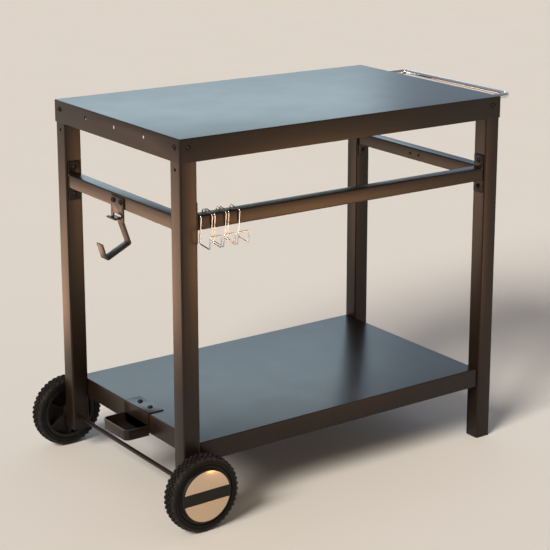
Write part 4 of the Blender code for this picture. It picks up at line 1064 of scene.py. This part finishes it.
class CART_OT_tyres(bpy.types.Operator):
    """Two solid rubber tyres with five staggered rows of lugs"""

    bl_idname = "cart.tyres"
    bl_label = "Tyres"

    def execute(self, context):
        sizes = context.scene.cart_sizes
        for name, side in FRONT_REAR:
            centre = on_cart((-LEG_X, side * WHEEL_Y, AXLE_HEIGHT))
            bm = bmesh.new()
            self.carcass(bm)
            self.lugs(bm, sizes)
            bmesh.ops.translate(bm, verts=bm.verts, vec=centre)
            part(f"tyre_{name}_lugged", bm, "rubber", body=f"wheel_{name}", stands_for=(f"tyre_{name}",),
                 spot=centre, angle=40)
        return {"FINISHED"}

    def crown(self, across):
        """Radius of the tread's floor at a distance from the tyre's middle."""
        return TREAD_RADIUS - TREAD_CROWN * (across / TREAD_HALF) ** 2

    def carcass(self, bm):
        floor = [(self.crown(t), t) for t in [TREAD_STEP * k - TREAD_HALF for k in range(11)]]
        section = [*floor, *TYRE_WALL, *((r, -t) for r, t in reversed(TYRE_WALL))]
        turned(bm, section, 112, facing((0, 1, 0), (-CART_X, 0, 0)), closed=True)

    def lugs(self, bm, sizes):
        count = sizes.lug_count
        long = 2 * pi * LUG_RADIUS / count * LUG_SHARE
        # Each lug narrows upwards, as (height over the tread's floor, share of its outline).
        levels = ((-0.0010, 1.0), (sizes.lug - 0.0007, 0.84), (sizes.lug - 0.0001, 0.66))
        for middle_t, wide, odd in LUG_ROWS:
            # Rows on the two sides of the middle are skewed opposite ways, and the middle row is square.
            lean = copysign(LUG_LEAN, middle_t) if middle_t else 0.0
            for k in range(count):
                turn = Matrix.Rotation(2 * pi * (k + 0.5 * odd) / count, 4, "Y")
                rings = []
                for lift, share in levels:
                    verts = []
                    for a, b in ((-1, -1), (1, -1), (1, 1), (-1, 1)):
                        t = middle_t + b * wide / 2 * share
                        shift = a * long / 2 * share + lean * b
                        r = self.crown(t) + lift
                        verts.append(bm.verts.new(turn @ Vector((shift, t, -r))))
                    rings.append(verts)
                bridge(bm, rings)
                bm.faces.new(rings[-1])
                bm.faces.new(rings[0][::-1])


class CART_OT_wheels(bpy.types.Operator):
    """Moulded rims, bushes and the caps with their bright plates"""

    bl_idname = "cart.wheels"
    bl_label = "Rims and caps"

    def execute(self, context):
        for name, side in FRONT_REAR:
            self.rim(name, side)
            self.bush(name, side)
            self.cap(name, side)
        return {"FINISHED"}

    def outward(self, side):
        return facing((0, side, 0), (-LEG_X, side * WHEEL_Y, AXLE_HEIGHT))

    def ends(self, node, side):
        """How far a node of the wheel reaches inwards and outwards from the tyre's middle."""
        return sorted(side * (corner.y - side * WHEEL_Y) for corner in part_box(node))

    def rim(self, name, side):
        hub_in, _ = self.ends(f"rim_{name}", side)
        profile = [(HUB_BORE, hub_in), (HUB_RADIUS, hub_in), (HUB_RADIUS, -RIM_WEB), (RIM_INNER, -RIM_WEB),
                   (RIM_INNER, -RIM_EDGE), (RIM_FLANGE, -RIM_EDGE), (RIM_FLANGE, -RIM_LIP),
                   (RIM_SEAT, -RIM_LIP), (RIM_SEAT, RIM_LIP), (RIM_FLANGE, RIM_LIP), (RIM_FLANGE, RIM_EDGE),
                   (RIM_INNER, RIM_EDGE), (RIM_INNER, RIM_WEB), (HUB_RADIUS, RIM_WEB), (HUB_RADIUS, HUB_OUT),
                   (HUB_BORE, HUB_OUT)]
        rounded = filleted(profile, RIM_EASE, 2)
        bm = bmesh.new()
        turned(bm, [(p.x, p.y) for p in rounded], 72, self.outward(side), closed=True)
        rim = part(f"rim_{name}_moulding", bm, "plastic", body=f"wheel_{name}", stands_for=(f"rim_{name}",))
        ribs = bmesh.new()
        outline = [(RIB_FROM, -RIB_HALF), (RIB_TO, -RIB_HALF), (RIB_TO, RIB_HALF), (RIB_FROM, RIB_HALF)]
        for k in range(RIBS):
            turn = Matrix.Rotation(2 * pi * (k + 0.5) / RIBS, 4, "Z")
            prism(ribs, outline, -RIM_EDGE + RIB_BACK, 0.0, self.outward(side) @ turn)
        cut(rim, ribs, "UNION")

    def bush(self, name, side):
        back, front = self.ends(f"wheel_bush_{name}", side)
        collar = back + BUSH_COLLAR_TALL
        profile = [(BUSH_BORE, back), (BUSH_COLLAR, back), (BUSH_COLLAR, collar), (BUSH_BODY, collar),
                   (BUSH_BODY, front), (BUSH_BORE, front)]
        rounded = filleted(profile, BUSH_EASE, 2)
        bm = bmesh.new()
        turned(bm, [(p.x, p.y) for p in rounded], 40, self.outward(side), closed=True)
        part(f"wheel_bush_{name}_turned", bm, "nylon", body=f"wheel_{name}",
             stands_for=(f"wheel_bush_{name}",))

    def cap(self, name, side):
        body = f"wheel_{name}"
        spigot = CAP_SEAT - CAP_SPIGOT_DEEP
        profile = [(0.0, CAP_BACK), (CAP_BORE, CAP_BACK), (CAP_BORE, spigot), (CAP_SPIGOT, spigot),
                   (CAP_SPIGOT, CAP_SEAT), (CAP_RADIUS, CAP_SEAT), (CAP_RADIUS, CAP_FACE - 0.0020),
                   (CAP_RADIUS - 0.0006, CAP_FACE - 0.0008), (CAP_RADIUS - 0.0018, CAP_FACE), (0.0, CAP_FACE)]
        bm = bmesh.new()
        turned(bm, profile, 112, self.outward(side))
        cap = part(f"wheel_cap_{name}_moulding", bm, "plastic", body=body, stands_for=(f"wheel_cap_{name}",))
        pockets = bmesh.new()
        plates = {}
        for where, turn in (("lower", pi), ("upper", 0.0)):
            matrix = self.outward(side) @ Matrix.Rotation(turn, 4, "Z")
            plates[where] = bmesh.new()
            for mesh, (radius, bar, below, above) in ((pockets, CAP_POCKET), (plates[where], CAP_PLATE)):
                prism(mesh, self.segment(radius, bar), CAP_FACE - below, CAP_FACE + above, matrix)
        cut(cap, pockets)
        for where, bm in plates.items():
            plate = part(f"cap_plate_{name}_{where}_polished", bm, "trim", body=body,
                         stands_for=(f"cap_plate_{name}_{where}",))
            soften(plate, TRIM_EDGE)

    def segment(self, radius, chord):
        """A slice of a disc beyond a chord, anticlockwise, with the chord below."""
        start = asin(chord / radius)
        return arc((0.0, 0.0), radius, start, pi - start, 48)


class CART_OT_side_handle(bpy.types.Operator):
    """Bent chrome handle with its rosettes and the bolts inside the skirt"""

    bl_idname = "cart.side_handle"
    bl_label = "Side handle"

    def execute(self, context):
        sizes = context.scene.cart_sizes
        radius = sizes.handle_tube / 2
        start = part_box("side_handle")[0].x - CART_X
        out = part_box("side_handle")[1].x - CART_X - radius
        half = HANDLE_SEAT.y
        level = HANDLE_SEAT.z
        corners = [(start, -half, level), (out, -half, level), (out, half, level), (start, half, level)]
        bm = bmesh.new()
        pipe(bm, filleted(corners, HANDLE_BEND, 10), radius, 32, Matrix.Translation(on_cart((0, 0, 0))))
        part("side_handle_tube", bm, "chrome", stands_for=("side_handle",))
        face = sizes.top_length / 2
        for name, side in FRONT_REAR:
            bm = bmesh.new()
            turned(bm, ROSETTE, 40, facing((1, 0, 0), (face + FIT, side * half, level)), closed=True)
            part(f"handle_rosette_{name}_pressed", bm, "chrome", stands_for=(f"handle_rosette_{name}",))
            bm = bmesh.new()
            button_head(bm, (face - sizes.top_sheet - FIT, side * half, level), (-1, 0, 0), sizes)
            part(f"handle_bolt_{name}_head", bm, "zinc", stands_for=(f"handle_bolt_{name}",))
        return {"FINISHED"}


class CART_OT_tank_hook(bpy.types.Operator):
    """Bent flat hook that swings in its slotted plate under the left rail"""

    bl_idname = "cart.tank_hook"
    bl_label = "Tank hook"

    def execute(self, context):
        self.plate(context.scene.cart_sizes)
        joint = next(j for j in frame["joints"] if j["name"] == "tank_hook_swing")
        pivot = Vector(joint["pos_m"]) - Vector((CART_X, 0, 0))
        path = [(pivot.x + HOOK_HEAD_X, pivot.z), (pivot.x + HOOK_NECK_X, pivot.z)]
        for run, rise in HOOK_STEPS:
            path.append((path[-1][0] + run, path[-1][1] + rise))
        bm = bmesh.new()
        strip = ribbon(filleted(path, HOOK_BEND, 8), HOOK_BAR)
        prism(bm, strip, -HOOK_BAR_WIDE / 2, HOOK_BAR_WIDE / 2, side_section(0.0))
        bar = part("tank_hook_bar", bm, "coat", body="tank_hook", stands_for=("tank_hook",))
        head = bmesh.new()
        deep, wide = HOOK_HEAD
        # The head stands 0.2 mm behind the bar's end and 0.1 mm over its faces, so that the two join cleanly.
        matrix = Matrix.Translation(on_cart((path[0][0] + deep / 2 - 0.0002, 0, path[0][1])))
        half = HOOK_BAR / 2 + 0.0001
        prism(head, rounded_rectangle(deep, wide, HOOK_HEAD_CORNER), -half, half, matrix)
        cut(bar, head, "UNION")
        soften(bar, BAR_EDGE)
        return {"FINISHED"}

    def plate(self, sizes):
        low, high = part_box("tank_hook_plate")
        wide, tall, thick = high.y - low.y, high.z - low.z, high.x - low.x
        turn = Matrix((Vector((0, -1, 0)), Vector((0, 0, 1)), Vector((-1, 0, 0)))).transposed().to_4x4()
        bm = bmesh.new()
        face = Matrix.Translation((high.x, 0, (low.z + high.z) / 2)) @ turn
        prism(bm, rounded_rectangle(wide, tall, HOOK_PLATE_CORNER), 0.0, thick, face)
        plate = part("tank_hook_plate_cut", bm, "coat", stands_for=("tank_hook_plate",))
        slot = bmesh.new()
        across, deep, foot = HOOK_SLOT
        spot = Matrix.Translation((high.x, 0, low.z + foot + deep / 2)) @ turn
        prism(slot, rounded_rectangle(across, deep, HOOK_SLOT_CORNER, steps=4), -thick, 2 * thick, spot)
        cut(plate, slot)
        soften(plate, SHEET_EDGE)
        for name, side in FRONT_REAR:
            y, level = side * HOOK_BOLT_Y, RAIL_TOP - sizes.rail / 2
            bm = bmesh.new()
            button_head(bm, (low.x - CART_X - FIT, y, level), (-1, 0, 0), sizes)
            part(f"hook_plate_bolt_{name}_head", bm, "oxide", stands_for=(f"hook_plate_bolt_{name}",))
            bm = bmesh.new()
            hexagon_nut(bm, (-LEG_X + sizes.rail / 2 + FIT, y, level), (1, 0, 0))
            part(f"hook_plate_nut_{name}_turned", bm, "zinc", stands_for=(f"hook_plate_nut_{name}",))


class CART_OT_tank_tray(bpy.types.Operator):
    """Shallow tray bracket on the shelf's left edge, with its bolts and nuts"""

    bl_idname = "cart.tank_tray"
    bl_label = "Tank tray"

    def execute(self, context):
        sizes = context.scene.cart_sizes
        sheet = TRAY_SHEET
        edge = -(LEG_X - sizes.leg / 2 - FIT)
        half = TRAY_LONG / 2
        flange_z = SHELF_TOP + FIT + sheet / 2
        web_x = edge - FIT - sheet / 2
        low = SHELF_TOP - TRAY_DROP
        path = [(edge + TRAY_FLANGE, flange_z), (web_x, flange_z), (web_x, low)]
        bm = bmesh.new()
        prism(bm, ribbon(filleted(path, TRAY_FOLD, 6), sheet), -half, half, side_section(0.0))
        tray = part("tank_tray_folded", bm, "coat", stands_for=("tank_tray",))
        outer = edge - TRAY_REACH
        rim = [(web_x, sheet / 2 - half), (outer + sheet / 2, sheet / 2 - half),
               (outer + sheet / 2, half - sheet / 2), (web_x, half - sheet / 2)]
        route = filleted(rim, TRAY_CORNER, 8)
        wall = bmesh.new()
        prism(wall, ribbon(route, sheet), low, low + TRAY_WALL, Matrix.Translation(on_cart((0, 0, 0))))
        cut(tray, wall, "UNION")
        floor = bmesh.new()
        prism(floor, [tuple(point) for point in route], low, low + sheet,
              Matrix.Translation(on_cart((0, 0, 0))))
        cut(tray, floor, "UNION")
        soften(tray, SHEET_EDGE)
        for name, side in FRONT_REAR:
            spot = Vector((edge + TRAY_BOLT_IN, side * TRAY_BOLT_Y, flange_z + sheet / 2))
            bm = bmesh.new()
            button_head(bm, spot, (0, 0, 1), sizes)
            part(f"tray_bolt_{name}_head", bm, "oxide", stands_for=(f"tray_bolt_{name}",))
            bm = bmesh.new()
            hexagon_nut(bm, (spot.x, spot.y, SHELF_TOP - sizes.shelf_sheet - FIT), (0, 0, -1))
            part(f"tray_nut_{name}_turned", bm, "zinc", stands_for=(f"tray_nut_{name}",))
        return {"FINISHED"}


class CART_OT_wire_hooks(bpy.types.Operator):
    """Three bent wire hooks over the front rail"""

    bl_idname = "cart.wire_hooks"
    bl_label = "Wire hooks"

    def execute(self, context):
        radius = context.scene.cart_sizes.wire / 2
        half = WIRE_WIDE / 2 - radius
        side = [(half, WIRE_OVER, -WIRE_BACK), (half, WIRE_OVER, 0.0), (half, 0.0, 0.0),
                (half, 0.0, -WIRE_FRONT), (half, -WIRE_FOOT, -WIRE_FRONT),
                (half, -WIRE_FOOT, WIRE_TIP - WIRE_FRONT)]
        side = [Matrix.Rotation(WIRE_LEAN, 3, "X") @ Vector(point) for point in side]
        route = side + [Vector((-point.x, point.y, point.z)) for point in reversed(side)]
        bent = filleted(route, WIRE_BEND, 7)
        front = min(point.y for point in bent) - radius
        foot = min(point.z for point in bent) - radius
        for number in (1, 2, 3):
            name = f"wire_hook_{number}"
            low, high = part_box(name)
            spot = ((low.x + high.x) / 2, low.y - front, low.z - foot)
            bm = bmesh.new()
            pipe(bm, bent, radius, 14, Matrix.Translation(spot))
            part(f"{name}_bent", bm, "chrome", body=name, stands_for=(name,))
        return {"FINISHED"}


class CART_OT_studio(bpy.types.Operator):
    """Floor, soft lights and the camera at the photograph's angle"""

    bl_idname = "cart.studio"
    bl_label = "Studio"

    def execute(self, context):
        scene = context.scene
        scene.view_settings.view_transform = "Standard"
        self.camera(scene)
        self.floor(scene)
        self.sun(scene)
        self.panels(scene)
        self.world(scene)
        return {"FINISHED"}

    def camera(self, scene):
        forward = Vector((sin(CAMERA_YAW) * cos(CAMERA_PITCH), cos(CAMERA_YAW) * cos(CAMERA_PITCH),
                          -sin(CAMERA_PITCH)))
        right = Vector((cos(CAMERA_YAW), -sin(CAMERA_YAW), 0))
        down = forward.cross(right)
        rolled_right = cos(CAMERA_ROLL) * right + sin(CAMERA_ROLL) * down
        rolled_down = cos(CAMERA_ROLL) * down - sin(CAMERA_ROLL) * right
        turn = Matrix((rolled_right, -rolled_down, -forward)).transposed().to_4x4()
        data = bpy.data.cameras.new("Camera")
        data.sensor_width = SENSOR
        data.lens = SENSOR * LENS_PIXELS / PHOTO
        data.shift_x = (PHOTO / 2 - LENS_MIDDLE[0]) / PHOTO
        data.shift_y = (LENS_MIDDLE[1] - PHOTO / 2) / PHOTO
        camera = bpy.data.objects.new("Camera", data)
        camera.matrix_world = Matrix.Translation(on_cart(CAMERA_SPOT)) @ turn
        scene.collection.objects.link(camera)
        scene.camera = camera

    def floor(self, scene):
        bm = bmesh.new()
        turned(bm, [(radius, 0.0) for radius in FLOOR_RINGS], 64, Matrix.Identity(4))
        mesh = bpy.data.meshes.new("floor")
        bmesh.ops.recalc_face_normals(bm, faces=bm.faces)
        if sum(f.normal.z for f in bm.faces) < 0:
            bmesh.ops.reverse_faces(bm, faces=bm.faces)
        bm.to_mesh(mesh)
        bm.free()
        mesh.materials.append(finish("floor"))
        floor = bpy.data.objects.new("floor", mesh)
        scene.collection.objects.link(floor)

    def aimed(self, scene, data, spot, target):
        light = bpy.data.objects.new(data.name, data)
        light.location = spot
        light.rotation_euler = (Vector(target) - Vector(spot)).to_track_quat("-Z", "Y").to_euler()
        light.visible_camera = False
        scene.collection.objects.link(light)
        return light

    def sun(self, scene):
        """A broad warm key from the left that lights the whole floor evenly."""
        data = bpy.data.lights.new("Key", "SUN")
        data.energy = SUN_STRENGTH
        data.angle = SUN_ANGLE
        data.color = linear(SUN_COLOUR)
        self.aimed(scene, data, SUN_SPOT, (0, 0, 0))

    def panel(self, scene, name, size, watts, colour, spot, target):
        """A rectangular light that glossy faces mirror and that lights no matt face."""
        data = bpy.data.lights.new(name, "AREA")
        data.shape = "RECTANGLE"
        data.size, data.size_y = size
        data.energy = watts
        data.color = linear(colour)
        light = self.aimed(scene, data, spot, target)
        light.visible_diffuse = False
        return light

    def panels(self, scene):
        """A cool panel behind the cart for its tops, and warm strips on the floor for its upright faces."""
        self.panel(scene, *SKY_PANEL)
        for strip in (LEFT_STRIP, FRONT_STRIP):
            light = self.panel(scene, *strip)
            # It faces up and lies along the way in which the upright faces mirror the camera.
            light.rotation_euler = (pi, 0, CAMERA_YAW - pi / 2)

    def world(self, scene):
        """A cool sky behind the cart, which the flat tops mirror, and a warm dim room before it.

        The camera sees it plain and pale.
        """
        world = bpy.data.worlds.new("Studio")
        scene.world = world
        world.use_nodes = True
        tree = world.node_tree
        back = tree.nodes["Background"]
        way = add(tree, "ShaderNodeTexCoord")["Generated"]
        height = add(tree, "ShaderNodeSeparateXYZ", (way,))["Z"]
        straight_on = (sin(CAMERA_YAW), cos(CAMERA_YAW), 0)
        ahead = add(tree, "ShaderNodeVectorMath", (way, straight_on), operation="DOT_PRODUCT")["Value"]
        climb = add(tree, "ShaderNodeMapRange", (height, 0.0, 0.8, 0.0, 1.0))["Result"]
        sky = add(tree, "ShaderNodeMix", (climb, *map(linear, SKY_COLOURS)), data_type="RGBA")["Result"]
        room = add(tree, "ShaderNodeMix", (climb, *map(linear, ROOM_COLOURS)), data_type="RGBA")["Result"]
        behind = add(tree, "ShaderNodeMapRange", (ahead, 0.0, 0.9, 0.0, 1.0))["Result"]
        shaded = add(tree, "ShaderNodeMix", (behind, room, sky), data_type="RGBA")["Result"]
        ray = add(tree, "ShaderNodeLightPath")["Is Camera Ray"]
        seen = add(tree, "ShaderNodeMix", (ray, shaded, linear(BACKDROP)), data_type="RGBA")["Result"]
        tree.links.new(seen, back.inputs["Color"])
        back.inputs["Strength"].default_value = 1.0


class CART_PT_panel(bpy.types.Panel):
    """Lists the steps that build the cart"""

    bl_idname = "CART_PT_panel"
    bl_label = "Grill cart"
    bl_space_type = "VIEW_3D"
    bl_region_type = "UI"
    bl_category = "Grill cart"

    def draw(self, context):
        column = self.layout.column()
        for operator in PIECES:
            column.operator(operator.bl_idname)
        for group in (context.scene.cart_sizes, context.scene.cart_finish):
            for name in group.__annotations__:
                column.prop(group, name)


PIECES = (CART_OT_studio, CART_OT_tabletop, CART_OT_legs, CART_OT_rails, CART_OT_shelf, CART_OT_axle,
          CART_OT_tyres, CART_OT_wheels, CART_OT_side_handle, CART_OT_tank_hook, CART_OT_tank_tray,
          CART_OT_wire_hooks)
CLASSES = (CartSizes, CartFinish) + PIECES + (CART_PT_panel,)


def register():
    for cls in CLASSES:
        bpy.utils.register_class(cls)
    bpy.types.Scene.cart_sizes = PointerProperty(type=CartSizes)
    bpy.types.Scene.cart_finish = PointerProperty(type=CartFinish)


def unregister():
    del bpy.types.Scene.cart_finish
    del bpy.types.Scene.cart_sizes
    for cls in reversed(CLASSES):
        bpy.utils.unregister_class(cls)


def main():
    register()
    for operator in PIECES:
        group, name = operator.bl_idname.split(".")
        getattr(getattr(bpy.ops, group), name)()


if __name__ == "__main__":
    main()
